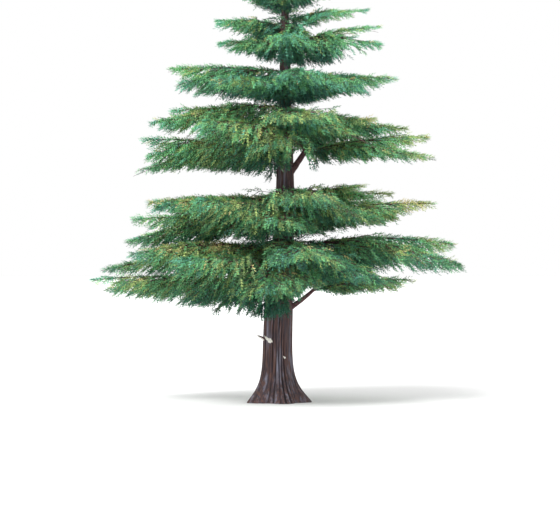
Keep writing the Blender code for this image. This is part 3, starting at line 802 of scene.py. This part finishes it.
def grow_foliage(sizes):
    """The masses, what bounds them, and every bough, branch and spray of the crown."""
    chance = np.random.default_rng(sizes.seed)
    masses = all_masses()
    boughs, owners = boughs_of(masses)
    crown = Crown(masses, boughs, owners)
    leader = np.flatnonzero(owners == len(masses) - 1)
    unders = crown.kept(under_boughs(boughs.pick(owners < len(masses) - 1), crown, chance), LIMB_SLACK)
    spacing = sizes.branch_spacing
    branches = branches_on(boughs, leader, spacing, chance)
    branches = joined(branches, branches_on(unders, leader, spacing * UNDER_SPACING, chance))
    branches = joined(crown.kept(crown.fitted(branches, LEAST_BRANCH, chance), LIMB_SLACK), unders)
    limbs = joined(boughs, branches)
    hangers = crown.fitted(hangers_on(limbs, crown, sizes.hanger_spacing, chance), LEAST_HANGER, chance)
    hangers = crown.kept(hangers, LIMB_SLACK)
    nodes = [node_of(mass) for mass in masses]
    shoots = []
    for stretch in STRETCHES:
        bough = np.flatnonzero(owners == nodes.index(stretch.mass))[0]
        shoots.append(shoots_on(stretch, bough, chance))
    shoots = joined(*shoots)
    sprays = [sprays_on(boughs, sizes, BOUGH_SPRAYS, chance)]
    sprays += [sprays_on(limbs, sizes, habit, chance) for habit in LIMB_HABITS]
    sprays.append(sprays_on(hangers, sizes, HUNG_SPRAYS, chance))
    sprays = joined(end_sprays(joined(limbs, hangers), sizes, chance), *sprays)
    sprays = crown.kept(crown.fitted(sprays, LEAST_SPRAY, chance), SPRAY_SLACK)
    dressing = (sprays_on(shoots, sizes, SHOOT_SPRAYS, chance), end_sprays(shoots, sizes, chance))
    return masses, crown, boughs, joined(branches, hangers, shoots), joined(sprays, *dressing)


def patches(places, strength, size, turn):
    """A soft pattern over space, in patches of about a size in metres."""
    x, y, z = (places / size).T
    first = np.sin(1.9 * x + 1.3 * np.sin(1.1 * z + turn) + turn) * np.cos(1.7 * y - 0.6 * z + turn)
    second = np.sin(2.6 * z + 1.4 * np.sin(1.3 * x - turn)) * np.cos(2.2 * x + 1.9 * y)
    return strength * (0.6 * first + 0.4 * second)


def tints_of(sprays, masses, crown, sizes):
    """The tint of each spray, by where it is: lit on top and outside, dark below and inside."""
    chance = np.random.default_rng(sizes.seed + 1)
    count = len(sprays)
    middles = sprays.at(TINT_PLACE)
    owners = crown.owners[sprays.bough]

    def by_mass(rule):
        """What a rule makes of each spray's mass."""
        return np.array([rule(mass) for mass in masses])[owners]

    depth = (middles[:, 2] - crown.floors[owners]) / (crown.crests[sprays.bough] - crown.floors[owners])
    out = outward(middles) / crown.reaches[sprays.bough]
    light = DEPTH_LIGHT * smooth(depth) + OUTER_LIGHT * smooth(out * OUTER_RISE)
    light = light + patches(middles, *LIGHT_PATCHES)
    light = light - TRUNK_GLOOM * smooth(1.0 - outward(middles) / TRUNK_SHADE)
    light = light + chance.normal(0.0, LIGHT_SCATTER, count) - LIGHT_LOSS
    light = light - FRONT_SHADE * by_mass(lambda mass: mass.name.startswith("front"))
    light = light + HIGHER_LIGHT * by_mass(lambda mass: min(mass.tier, LIGHTEST_TIER))
    step = np.clip((light * TINT_STEPS).astype(int), 0, TINT_STEPS - 1)
    lean = by_mass(lambda mass: MASS_WARMTH.get(node_of(mass), TIER_WARMTH[mass.tier]))
    lean = lean + patches(middles, *WARM_PATCHES) + chance.normal(0.0, WARMTH_SCATTER, count)
    low_right = (middles[:, 0] > 0.0) & (middles[:, 2] < WARM_TIPS_BELOW)
    tip_lean = np.where(low_right, WARM_TIPS, COOL_TIPS)
    # Tops lean warm: a painted sunlit hue
    lean = lean + CREST_WARMTH * (smooth(depth) - CREST_START)
    lean = lean + tip_lean * smooth((out - TIP_START) / (1.0 - TIP_START))
    hue = np.where(lean > WARM_FROM, HUES.index("warm"), HUES.index("green"))
    hue = np.where(lean < COOL_UP_TO, HUES.index("cool"), hue)
    sun = by_mass(lambda mass: SUNLIT.get(node_of(mass), 0.0)) + patches(middles, *SUN_PATCHES)
    sunlit = (depth > SUN_DEPTH) & (sun + chance.normal(0.0, SUN_SCATTER, count) > SUN_LEAST)
    return np.where(sunlit, TINT_STEPS * len(HUES), hue * TINT_STEPS + step)


def mesh_from(name, corners, faces, materials, choice=None, shade_smooth=False):
    """A mesh object from arrays of corners and of faces, all with the same number of sides."""
    mesh = bpy.data.meshes.new(name)
    count, sides = faces.shape
    mesh.vertices.add(len(corners))
    mesh.vertices.foreach_set("co", np.ascontiguousarray(corners, dtype=np.float32).ravel())
    mesh.loops.add(count * sides)
    mesh.loops.foreach_set("vertex_index", np.ascontiguousarray(faces, dtype=np.int32).ravel())
    mesh.polygons.add(count)
    mesh.polygons.foreach_set("loop_start", np.arange(0, count * sides, sides, dtype=np.int32))
    mesh.polygons.foreach_set("use_smooth", np.full(count, shade_smooth))
    for finish in materials:
        mesh.materials.append(finish)
    if choice is not None:
        mesh.polygons.foreach_set("material_index", np.ascontiguousarray(choice, dtype=np.int32))
    mesh.update(calc_edges=True)
    mesh.validate()
    made = bpy.data.objects.new(name, mesh)
    bpy.context.scene.collection.objects.link(made)
    return made


def close_ends(mesh):
    """Closes the two open ends of a tube with a face each."""
    shape = bmesh.new()
    shape.from_mesh(mesh)
    bmesh.ops.holes_fill(shape, edges=[edge for edge in shape.edges if edge.is_boundary], sides=0)
    shape.to_mesh(mesh)
    shape.free()


def wall_of(rings, sides):
    """The quads of a tube's wall, ring by ring."""
    first = np.arange(rings - 1)[:, None] * sides
    step = np.arange(sides)[None]
    after = (step + 1) % sides
    quads = (first + step, first + after, first + after + sides, first + step + sides)
    return np.stack(quads, axis=-1).reshape(-1, 4)


def tube_arrays(limbs, radii, sides):
    """Corners and triangles of tubes along limbs, closed at both ends. Each row of radii is a limb's."""
    rings = radii.shape[1]
    turns = np.linspace(0.0, 2.0 * math.pi, sides, endpoint=False)[:, None]
    corners = np.zeros((len(limbs), rings, sides, 3))
    for ring, share in enumerate(np.linspace(0.0, 1.0, rings)):
        _, across, over = limbs.frame(share)
        offset = across[:, None] * np.cos(turns) + over[:, None] * np.sin(turns)
        corners[:, ring] = limbs.at(share)[:, None] + offset * radii[:, ring, None, None]
    wall = wall_of(rings, sides)[:, (0, 1, 2, 0, 2, 3)].reshape(-1, 3)
    step = np.arange(1, sides - 1)
    foot = np.stack((np.zeros_like(step), step + 1, step), axis=1)
    tip = foot[:, ::-1] + (rings - 1) * sides
    first = np.arange(len(limbs))[:, None, None] * (rings * sides)
    return corners.reshape(-1, 3), (np.concatenate((wall, foot, tip)) + first).reshape(-1, 3)


def spray_arrays(sprays, tuft, chance):
    """Corners and triangles of the needles: pairs of tufts along each spray, swept towards its tip."""
    count = len(sprays)
    corners = np.zeros((count, TUFT_PAIRS, 4, 3))
    turn = chance.uniform(*SPRAY_TURNS, count)
    size = tuft * chance.uniform(*SPRAY_SIZES, count)
    base, rise, loss = TUFT_PROFILE
    for pair in range(TUFT_PAIRS):
        share = (pair + TUFT_START) / TUFT_PAIRS
        along, across, over = sprays.frame(share, NUDGE)
        roll = turn + TUFT_ROLL * (1.0 if pair % 2 else -1.0) + chance.uniform(*TUFT_ROLLS, count)
        sweep = SWEEP_FOOT + (SWEEP_TIP - SWEEP_FOOT) * share**SWEEP_CURVE
        reach = size * (base + rise * share - loss * share**3) * chance.uniform(*TUFT_LENGTHS, count)
        foot = sprays.at(share)
        corners[:, pair, 0] = foot
        corners[:, pair, 1] = sprays.at(share + 1.0 / TUFT_PAIRS)
        for place, side in ((2, 1.0), (3, -1.0)):
            aside = across * (side * np.cos(roll))[:, None] + over * np.sin(roll)[:, None]
            tip = along * math.cos(sweep) + aside * math.sin(sweep)
            corners[:, pair, place] = foot + reach[:, None] * tip
    first = np.arange(count * TUFT_PAIRS)[:, None] * 4
    faces = np.stack((first + (0, 1, 2), first + (1, 0, 3)), axis=1).reshape(-1, 3)
    return corners.reshape(-1, 3), faces


def stalk_arrays(sprays, radius):
    """Corners and triangles of the fine stalk of each spray, a thin blade that tapers to its tip."""
    corners = np.zeros((len(sprays), len(STALK_CORNERS), 3))
    for place, (share, side) in enumerate(STALK_CORNERS):
        _, across, _ = sprays.frame(share, NUDGE)
        corners[:, place] = sprays.at(share) + across * radius * side
    first = np.arange(len(sprays))[:, None] * len(STALK_CORNERS)
    faces = np.stack((first + (0, 1, 3), first + (0, 3, 2), first + (2, 3, 4)), axis=1)
    return corners.reshape(-1, 3), faces.reshape(-1, 3)


def scar_arrays(scar):
    """Corners and quads of a pale splinter on the trunk: a flat tube, thicker along its middle."""
    rows, columns = np.linspace(-1.0, 1.0, SCAR_ROWS), np.linspace(-1.0, 1.0, SCAR_COLUMNS)
    along, across = np.meshgrid(rows, columns, indexing="ij")
    half = np.clip((1.0 - along) / SCAR_POINT, 0.0, 1.0) * np.sqrt(np.clip(1.0 - along**6, 0.0, 1.0))
    half = half * (1.0 + SCAR_RAG * np.sin(SCAR_RAG_PACE * along))
    turn = math.radians(scar.turn)
    long = 0.5 * scar.length * along
    wide = 0.5 * scar.width * across * half
    height = scar.height + long * math.cos(turn) - wide * math.sin(turn)
    girth = trunk_radius(height)
    angle = math.radians(scar.azimuth) - (long * math.sin(turn) + wide * math.cos(turn)) / girth
    proud = SCAR_SINK + SCAR_PROUD * (1.0 - across**2) * (1.0 - along**2)
    front = round_trunk(angle, girth + proud, height)
    back = round_trunk(angle, girth - SCAR_DEPTH, height)
    corners = np.concatenate((front[:, ::-1], back), axis=1).reshape(-1, 3)
    sides = 2 * SCAR_COLUMNS
    step = np.arange(SCAR_COLUMNS - 1)
    foot = np.stack((step, step + 1, sides - 2 - step, sides - 1 - step), axis=1)
    tip = foot[:, ::-1] + (SCAR_ROWS - 1) * sides
    return corners, np.concatenate((wall_of(SCAR_ROWS, sides), foot, tip))


def furrows(angle, height, seed):
    """How deep in a furrow each place on the trunk lies, from 0 on a plate to 1."""
    chance = np.random.default_rng(seed)
    waves = np.zeros_like(angle)
    for turns in range(FURROWS // 3, 2 * FURROWS):
        weight = math.exp(-(((turns - FURROWS) / (FURROW_SPREAD * FURROWS)) ** 2))
        phase = chance.uniform(0.0, 2.0 * math.pi)
        for strength, pace in FURROW_WANDER:
            start = chance.uniform(0.0, 2.0 * math.pi)
            phase = phase + strength * np.sin(pace * chance.uniform(*FURROW_PACES) * height + start)
        waves = waves + weight * np.cos(turns * angle + phase)
    return smooth(FURROW_GAIN * (waves / waves.std()) - FURROW_SHIFT)


def add_node(material, kind, settings=(), links=()):
    """Adds a node to a material, with its settings, and with links to its inputs."""
    tree = material.node_tree
    node = tree.nodes.new(kind)
    for name, value in dict(settings).items():
        if name in node.bl_rna.properties:
            setattr(node, name, value)
        else:
            node.inputs[name].default_value = value
    for name, source in dict(links).items():
        tree.links.new(source, node.inputs[name])
    return node


def new_material(name, roughness, **constants):
    """A material with its shader, whose constants are set on the shader's own sockets."""
    made = bpy.data.materials.new(name)
    made.use_nodes = True
    shader = made.node_tree.nodes["Principled BSDF"]
    shader.inputs["Roughness"].default_value = roughness
    for socket, value in constants.items():
        shader.inputs[socket.replace("_", " ")].default_value = value
    return made, shader


def blended(material, share, first, second):
    """A colour that goes from the first to the second with a share. Each is a colour or a socket."""
    mix = add_node(material, "ShaderNodeMix", {"data_type": "RGBA"})
    material.node_tree.links.new(share, mix.inputs["Factor"])
    for socket, value in ((mix.inputs[6], first), (mix.inputs[7], second)):
        if isinstance(value, bpy.types.NodeSocket):
            material.node_tree.links.new(value, socket)
        else:
            socket.default_value = (*value, 1.0)
    return mix.outputs[2]


def streaks(material, across_mm, along_mm, detail, low, high):
    """A noise drawn out up the trunk, sharpened to lie between two levels."""
    place = add_node(material, "ShaderNodeTexCoord").outputs["Object"]
    stretch = (1000.0 / across_mm, 1000.0 / across_mm, 1000.0 / along_mm)
    scaled = add_node(material, "ShaderNodeMapping", {"Scale": stretch}, {"Vector": place})
    settings = {"Scale": 1.0, "Detail": detail, "Roughness": 0.6}
    noise = add_node(material, "ShaderNodeTexNoise", settings, {"Vector": scaled.outputs["Vector"]})
    settings = {"From Min": low, "From Max": high}
    sharpened = add_node(material, "ShaderNodeMapRange", settings, {"Value": noise.outputs["Fac"]})
    return sharpened.outputs["Result"]


def coloured_and_raised(material, shader, colour, height, distance_mm, strength):
    """Gives a material its colour, and a surface raised by a height pattern."""
    tree = material.node_tree
    tree.links.new(colour, shader.inputs["Base Color"])
    settings = {"Strength": strength, "Distance": distance_mm / 1000.0}
    raised = add_node(material, "ShaderNodeBump", settings, {"Height": height})
    tree.links.new(raised.outputs["Normal"], shader.inputs["Normal"])
    return material


def furrowed_bark(colours):
    """Old cedar bark, split into plates as the stem grew: dull, rust in streaks, and darker in the furrows as
    painted shade.
    """
    made, shader = new_material("furrowed_cedar_bark", 0.92, Specular_IOR_Level=0.25)
    rust = streaks(made, 45.0, 700.0, 6.0, 0.42, 0.62)
    slate = streaks(made, 120.0, 1300.0, 4.0, 0.5, 0.68)
    furrow = add_node(made, "ShaderNodeAttribute", {"attribute_name": "furrow"}).outputs["Fac"]
    colour = blended(made, rust, colours.bark, colours.bark_rust)
    colour = blended(made, slate, colour, colours.bark_slate)
    # Painted shade: the furrows are darkened by their depth
    colour = blended(made, furrow, colour, colours.bark_furrow)
    # Real flakes are about 5 mm wide, too fine to show, so they are drawn at 12 mm
    flakes = streaks(made, 12.0, 70.0, 5.0, 0.3, 0.7)
    return coloured_and_raised(made, shader, colour, flakes, 6.0, 0.6)


def young_bark(colours):
    """Bark of boughs and twigs, still thin and close: smoother than the trunk's, and purplish brown."""
    made, shader = new_material("young_cedar_bark", 0.8, Specular_IOR_Level=0.3)
    mottle = streaks(made, 30.0, 90.0, 5.0, 0.35, 0.65)
    colour = blended(made, mottle, colours.limb_dark, colours.limb_light)
    # Real cracks are 1 to 3 mm wide, too fine to show, so they are drawn at 8 mm
    cracks = streaks(made, 8.0, 20.0, 4.0, 0.3, 0.7)
    return coloured_and_raised(made, shader, colour, cracks, 3.0, 0.5)


def torn_wood(colours):
    """Cedar sapwood, torn along its grain and dried in the air: pale, matt and splintery."""
    made, shader = new_material("torn_cedar_wood", 0.75, Specular_IOR_Level=0.3)
    # Real grain is 1 to 2 mm wide, too fine to show, so it is drawn at 9 mm
    grain = streaks(made, 9.0, 120.0, 4.0, 0.35, 0.7)
    colour = blended(made, grain, colours.wood_pale, colours.wood_grain)
    return coloured_and_raised(made, shader, colour, grain, 4.0, 0.7)


def needle_finish(name, colour):
    """Living needles under a thin wax: a plain green, with the wax dulling it here and there."""
    made, shader = new_material(name, 0.6, Specular_IOR_Level=0.35)
    shader.inputs["Base Color"].default_value = (*colour, 1.0)
    # The real wax changes from needle to needle, too fine to show, so it is drawn in patches of 40 mm
    place = add_node(made, "ShaderNodeTexCoord").outputs["Object"]
    bloom = add_node(made, "ShaderNodeTexNoise", {"Scale": 25.0, "Detail": 1.0}, {"Vector": place})
    settings = {"To Min": 0.5, "To Max": 0.75}
    dulled = add_node(made, "ShaderNodeMapRange", settings, {"Value": bloom.outputs["Fac"]})
    made.node_tree.links.new(dulled.outputs["Result"], shader.inputs["Roughness"])
    return made


def needle_finishes(colours):
    """The tints of the needles, hue by hue and in steps from painted shade to painted light, and last the
    sunlit ochre, a painted highlight.
    """
    finishes = []
    for hue in HUES:
        dark, light = (np.array(getattr(colours, f"{hue}_{end}")) for end in ("dark", "light"))
        for step in range(TINT_STEPS):
            # Each step is the same needles in painted shade or painted light
            colour = dark + (light - dark) * (step / (TINT_STEPS - 1)) ** TINT_CURVE
            finishes.append(needle_finish(f"needles_{hue}_{step + 1}", colour))
    finishes.append(needle_finish("needles_sunlit", colours.sunlit))
    return finishes


def painted_board():
    """Board with a matt white coat: pale and even, so that the tree's own light and shade show on it."""
    made, shader = new_material("matt_painted_board", 0.95)
    shader.inputs["Base Color"].default_value = (*linear("#f3f3f3"), 1.0)
    return made


def number_property(name, description, default, unit="LENGTH"):
    """A length, or another number, that a user can change."""
    return bpy.props.FloatProperty(name=name, description=description, default=default, min=0.0, unit=unit)


def colour_property(name, description, colour):
    """A colour that a user can change."""
    return bpy.props.FloatVectorProperty(
        name=name, description=description, subtype="COLOR", default=linear(colour), min=0.0, max=1.0
    )


class TrunkSizes(bpy.types.PropertyGroup):
    """Sizes of the bark's relief."""

    seed: bpy.props.IntProperty(name="Seed", description="Chooses another run of furrows", default=3)
    furrow_depth: number_property("Furrow depth", "Depth of the furrows low on the trunk", 0.022)
    plate_rise: number_property("Plate rise", "How far the plates of bark stand out", 0.004)


class FoliageSizes(bpy.types.PropertyGroup):
    """Sizes that decide how close and how long the foliage grows."""

    seed: bpy.props.IntProperty(name="Seed", description="Chooses another tree of the same form", default=7)
    branch_spacing: number_property("Branch spacing", "Distance between side branches on a bough", 0.14)
    spray_spacing: number_property("Spray spacing", "Distance between sprays on a limb", 0.178)
    hanger_spacing: number_property("Hanger spacing", "Distance between hanging branchlets", 0.55)
    spray_length: number_property("Spray length", "Length of a full spray", 0.42)
    tuft_length: number_property("Tuft length", "Length of a tuft of needles", 0.085)


class CedarColours(bpy.types.PropertyGroup):
    """Colours of the bark, the wood and the needles."""

    bark: colour_property("Bark", "Plates of bark", "#483f44")
    bark_rust: colour_property("Rust bark", "Streaks where bark has flaked", "#684e48")
    bark_slate: colour_property("Slate bark", "Cool weathered streaks", "#83818f")
    # Painted shade deep in the furrows
    bark_furrow: colour_property("Furrow", "Deep in the furrows", "#231d21")
    limb_dark: colour_property("Limb, dark", "Shaded bark of boughs", "#3f2a2e")
    limb_light: colour_property("Limb, light", "Lit bark of boughs", "#6d4f50")
    wood_pale: colour_property("Torn wood", "Freshly torn wood", "#f6f4ef")
    wood_grain: colour_property("Wood grain", "Lines of the grain", "#ded5c4")
    cool_dark: colour_property("Cool needles, dark", "Blue-green in shade", "#38695f")
    cool_light: colour_property("Cool needles, light", "Blue-green in light", "#79caa8")
    green_dark: colour_property("Green needles, dark", "Green in shade", "#396e57")
    green_light: colour_property("Green needles, light", "Green in light", "#81c987")
    warm_dark: colour_property("Warm needles, dark", "Yellow-green in shade", "#4a724e")
    warm_light: colour_property("Warm needles, light", "Yellow-green in light", "#b3ca7d")
    sunlit: colour_property("Sunlit needles", "Ochre tips on the tops of tiers", "#dfd294")


class StudioSizes(bpy.types.PropertyGroup):
    """Where the camera stands, how wide it sees, and how strong and soft the lights are."""

    camera_distance: number_property("Camera distance", "From the trunk to the camera", 55.0)
    frame_width: number_property("Frame width", "Width of the picture at the trunk", 14.0)
    eye_height: number_property("Eye height", "Height of the camera", 3.5375)
    aside: number_property("Aside", "How far right of the trunk's foot the camera is", 0.0625)
    key_strength: number_property("Key light", "Strength of the soft key light", 2.6, "NONE")
    room_strength: number_property("Room light", "Strength of the even light of the room", 1.0, "NONE")
    key_angle: number_property("Key softness", "How wide the key light is", KEY_ANGLE, "ROTATION")


class CEDAR_OT_trunk(bpy.types.Operator):
    """Turns the trunk with its furrowed bark, and replaces the plain one"""

    bl_idname = "cedar.trunk"
    bl_label = "Trunk"

    def execute(self, context):
        sizes = context.scene.cedar_trunk
        heights = TRUNK_TOP * np.linspace(0.0, 1.0, BARK_RINGS) ** BARK_CROWDING
        turns = np.linspace(0.0, 2.0 * math.pi, BARK_TURNS, endpoint=False)
        height, angle = np.meshgrid(heights, turns, indexing="ij")
        furrow = furrows(angle, height, sizes.seed)
        girth = trunk_radius(height)
        lobe = 1.0 + ROOT_LOBE * flare_share(height) * np.cos(ROOTS * angle + ROOT_TURN)
        relief = sizes.plate_rise - (sizes.plate_rise + sizes.furrow_depth) * furrow
        relief = relief * np.clip(girth / TRUNK_RADIUS, THIN_BARK, THICK_BARK)
        corners = round_trunk(angle, girth * lobe + relief, height).reshape(-1, 3)
        finish = furrowed_bark(context.scene.cedar_colours)
        made = mesh_from("trunk_bark", corners, wall_of(BARK_RINGS, BARK_TURNS), [finish], shade_smooth=True)
        # How deep each place lies in a furrow, for the bark's painted shade
        depth = made.data.attributes.new("furrow", "FLOAT", "POINT")
        depth.data.foreach_set("value", furrow.ravel().astype(np.float32))
        close_ends(made.data)
        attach(made, BODY)
        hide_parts("trunk")
        return {"FINISHED"}


class CEDAR_OT_bare_boughs(bpy.types.Operator):
    """Makes the two bare boughs, thicker where they leave the trunk"""

    bl_idname = "cedar.bare_boughs"
    bl_label = "Bare boughs"

    def execute(self, context):
        finish = young_bark(context.scene.cedar_colours)
        shares = np.linspace(0.0, 1.0, LIMB_RINGS)
        for limb in BARE_LIMBS:
            line = bare_limb(limb)
            radii = limb.radius - (limb.radius - limb.end_radius) * shares
            radii = radii + COLLAR * limb.radius * (1.0 - shares) ** COLLAR_POWER
            corners, faces = tube_arrays(line, radii[None], LIMB_SIDES)
            uneven = UNEVEN * limb.radius * np.sin(corners * UNEVEN_PACE).sum(axis=1)
            corners = corners + uneven[:, None] * unit(corners - line.at(0.5)[0])
            made = mesh_from(limb.name + "_bark", corners, faces, [finish], shade_smooth=True)
            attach(made, BODY)
            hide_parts(limb.name)
        return {"FINISHED"}


class CEDAR_OT_broken_wood(bpy.types.Operator):
    """Makes the torn stub of the dead limb, and the pale scars on the trunk"""

    bl_idname = "cedar.broken_wood"
    bl_label = "Broken wood"

    def execute(self, context):
        wood = torn_wood(context.scene.cedar_colours)
        bark = young_bark(context.scene.cedar_colours)
        girth = float(trunk_radius(STUB_HEIGHT))
        start = around(STUB_AZIMUTH, girth * STUB_ROOT_SHARE, STUB_HEIGHT)
        end = around(STUB_AZIMUTH - STUB_TURN, girth + STUB_LENGTH, STUB_HEIGHT + STUB_RISE)
        line = limbs_between([start], [end], 0.0, [0])
        shares = np.linspace(0.0, 1.0, STUB_RINGS)
        radii = STUB_RADIUS * (STUB_FOOT - STUB_TAPER * shares**STUB_BLUNTNESS)
        corners, faces = tube_arrays(line, radii[None], STUB_SIDES)
        waves = np.sin(corners[:, 2] * SPLINTER_UP + corners[:, 0] * SPLINTER_ACROSS)
        corners[:, 2] += SPLINTER * STUB_RADIUS * waves
        middles = corners.reshape(STUB_RINGS, STUB_SIDES, 3).mean(axis=1).repeat(STUB_SIDES, axis=0)
        # Bark is left on the stub's upper side only
        upper = corners[faces][:, :, 2].mean(axis=1) > middles[faces][:, :, 2].mean(axis=1)
        stub = mesh_from("dead_stub_wood", corners, faces, [wood, bark], choice=upper.astype(int))
        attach(stub, BODY)
        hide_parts("dead_stub")
        for scar in SCARS:
            made = mesh_from(scar.name, *scar_arrays(scar), [wood])
            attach(made, BODY)
        return {"FINISHED"}


def foliage_groups(masses, owners, per_spray):
    """The masses shared out, in order of their tiers, among pieces that keep under the limit."""
    counts = np.bincount(owners, minlength=len(masses)) * per_spray
    groups = [[]]
    total = 0
    for owner in sorted(range(len(masses)), key=lambda owner: masses[owner].tier):
        if total + counts[owner] > PIECE_LIMIT:
            groups.append([])
            total = 0
        groups[-1].append(owner)
        total += counts[owner]
    return groups


class CEDAR_OT_foliage(bpy.types.Operator):
    """Grows the boughs, branches and needle sprays of every mass, and replaces the masses"""

    bl_idname = "cedar.foliage"
    bl_label = "Foliage"

    def execute(self, context):
        sizes = context.scene.cedar_foliage
        masses, crown, boughs, branches, sprays = grow_foliage(sizes)
        tints = tints_of(sprays, masses, crown, sizes)
        finishes = needle_finishes(context.scene.cedar_colours)
        bark = young_bark(context.scene.cedar_colours)
        corners, faces = spray_arrays(sprays, sizes.tuft_length, np.random.default_rng(sizes.seed + 2))
        corners = corners.reshape(len(sprays), -1, 3)
        per_spray = len(faces) // len(sprays)
        spray_owners = crown.owners[sprays.bough]
        for number, owners in enumerate(foliage_groups(masses, spray_owners, per_spray), 1):
            chosen = np.isin(spray_owners, owners)
            own = faces[: int(chosen.sum()) * per_spray]
            choice = np.repeat(tints[chosen], per_spray)
            own_corners = corners[chosen].reshape(-1, 3)
            made = mesh_from(f"needles_{number}", own_corners, own, finishes, choice=choice)
            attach(made, BODY)
            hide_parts(*(node_of(masses[owner]) for owner in owners))
        self.make_twigs(boughs, branches, sprays, bark, masses)
        return {"FINISHED"}

    def make_twigs(self, boughs, branches, sprays, bark, masses):
        """The wood inside the foliage: boughs, branches and the stalks of sprays."""
        thick = boughs.length() * BOUGH_RADIUS_SHARE + BOUGH_LEAST_RADIUS
        bough_radii = thick[:, None] * (1.0 - BOUGH_TAPER * np.linspace(0.0, 1.0, BOUGH_RINGS))
        thin = BRANCH_RADIUS * np.sqrt(branches.length())
        branch_radii = thin[:, None] * (1.0 - BRANCH_TAPER * np.linspace(0.0, 1.0, BRANCH_RINGS))
        parts = {
            "boughs_in_foliage": tube_arrays(boughs, bough_radii, BOUGH_SIDES),
            "branches": tube_arrays(branches, branch_radii, BRANCH_SIDES),
            "spray_stalks": stalk_arrays(sprays, TWIG_RADIUS),
        }
        for name, (corners, faces) in parts.items():
            made = mesh_from(name, corners, faces, [bark], shade_smooth=name == "boughs_in_foliage")
            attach(made, BODY)
            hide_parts(*(node_of(mass) for mass in masses))


class CEDAR_OT_studio(bpy.types.Operator):
    """Sets up the pale floor, the soft light and the camera"""

    bl_idname = "cedar.studio"
    bl_label = "Studio"

    def execute(self, context):
        scene = context.scene
        sizes = scene.cedar_studio
        corners = np.array([(-1, -1, 0), (1, -1, 0), (1, 1, 0), (-1, 1, 0)]) * FLOOR_HALF - UP * FLOOR_DROP
        floor = mesh_from("floor", corners, np.array([(0, 1, 2, 3)]), [painted_board()])
        world = bpy.data.worlds.new("pale_room")
        world.use_nodes = True
        backdrop = world.node_tree.nodes["Background"]
        backdrop.inputs["Color"].default_value = (*linear("#ffffff"), 1.0)
        backdrop.inputs["Strength"].default_value = sizes.room_strength
        scene.world = world
        key = bpy.data.lights.new("soft_key", "SUN")
        key.energy = sizes.key_strength
        key.angle = sizes.key_angle
        lamp = bpy.data.objects.new("soft_key", key)
        lamp.rotation_euler = Vector(KEY_COURSE).to_track_quat("-Z", "Y").to_euler()
        scene.collection.objects.link(lamp)
        view = bpy.data.cameras.new("view")
        view.sensor_width = SENSOR_WIDTH
        view.lens = view.sensor_width * sizes.camera_distance / sizes.frame_width
        view.clip_end = VIEW_END
        camera = bpy.data.objects.new("view", view)
        camera.location = (sizes.aside, -sizes.camera_distance, sizes.eye_height)
        camera.rotation_euler = (math.radians(90.0), 0.0, 0.0)
        scene.collection.objects.link(camera)
        scene.camera = camera
        scene.view_settings.view_transform = "Standard"
        return {"FINISHED"}


class CEDAR_PT_panel(bpy.types.Panel):
    """Lists the steps and the sizes of the tree"""

    bl_idname = "CEDAR_PT_panel"
    bl_label = "Deodar cedar"
    bl_space_type = "VIEW_3D"
    bl_region_type = "UI"
    bl_category = "Deodar"

    def draw(self, context):
        for group in GROUPS:
            box = self.layout.box()
            settings = getattr(context.scene, group)
            for name in settings.bl_rna.properties.keys():
                if name not in ("rna_type", "name"):
                    box.prop(settings, name)
        for operator in OPERATORS:
            self.layout.operator(operator.bl_idname)


GROUPS = {
    "cedar_trunk": TrunkSizes,
    "cedar_foliage": FoliageSizes,
    "cedar_colours": CedarColours,
    "cedar_studio": StudioSizes,
}
OPERATORS = (CEDAR_OT_trunk, CEDAR_OT_bare_boughs, CEDAR_OT_broken_wood, CEDAR_OT_foliage, CEDAR_OT_studio)


def register():
    """Registers the settings, the steps and the panel."""
    for name, group in GROUPS.items():
        bpy.utils.register_class(group)
        setattr(bpy.types.Scene, name, bpy.props.PointerProperty(type=group))
    for operator in (*OPERATORS, CEDAR_PT_panel):
        bpy.utils.register_class(operator)


def unregister():
    """Takes back what register made."""
    for operator in reversed((*OPERATORS, CEDAR_PT_panel)):
        bpy.utils.unregister_class(operator)
    for name, group in GROUPS.items():
        delattr(bpy.types.Scene, name)
        bpy.utils.unregister_class(group)


def main():
    """Makes the whole scene."""
    register()
    bpy.ops.cedar.trunk()
    bpy.ops.cedar.bare_boughs()
    bpy.ops.cedar.broken_wood()
    bpy.ops.cedar.foliage()
    bpy.ops.cedar.studio()


if __name__ == "__main__":
    main()
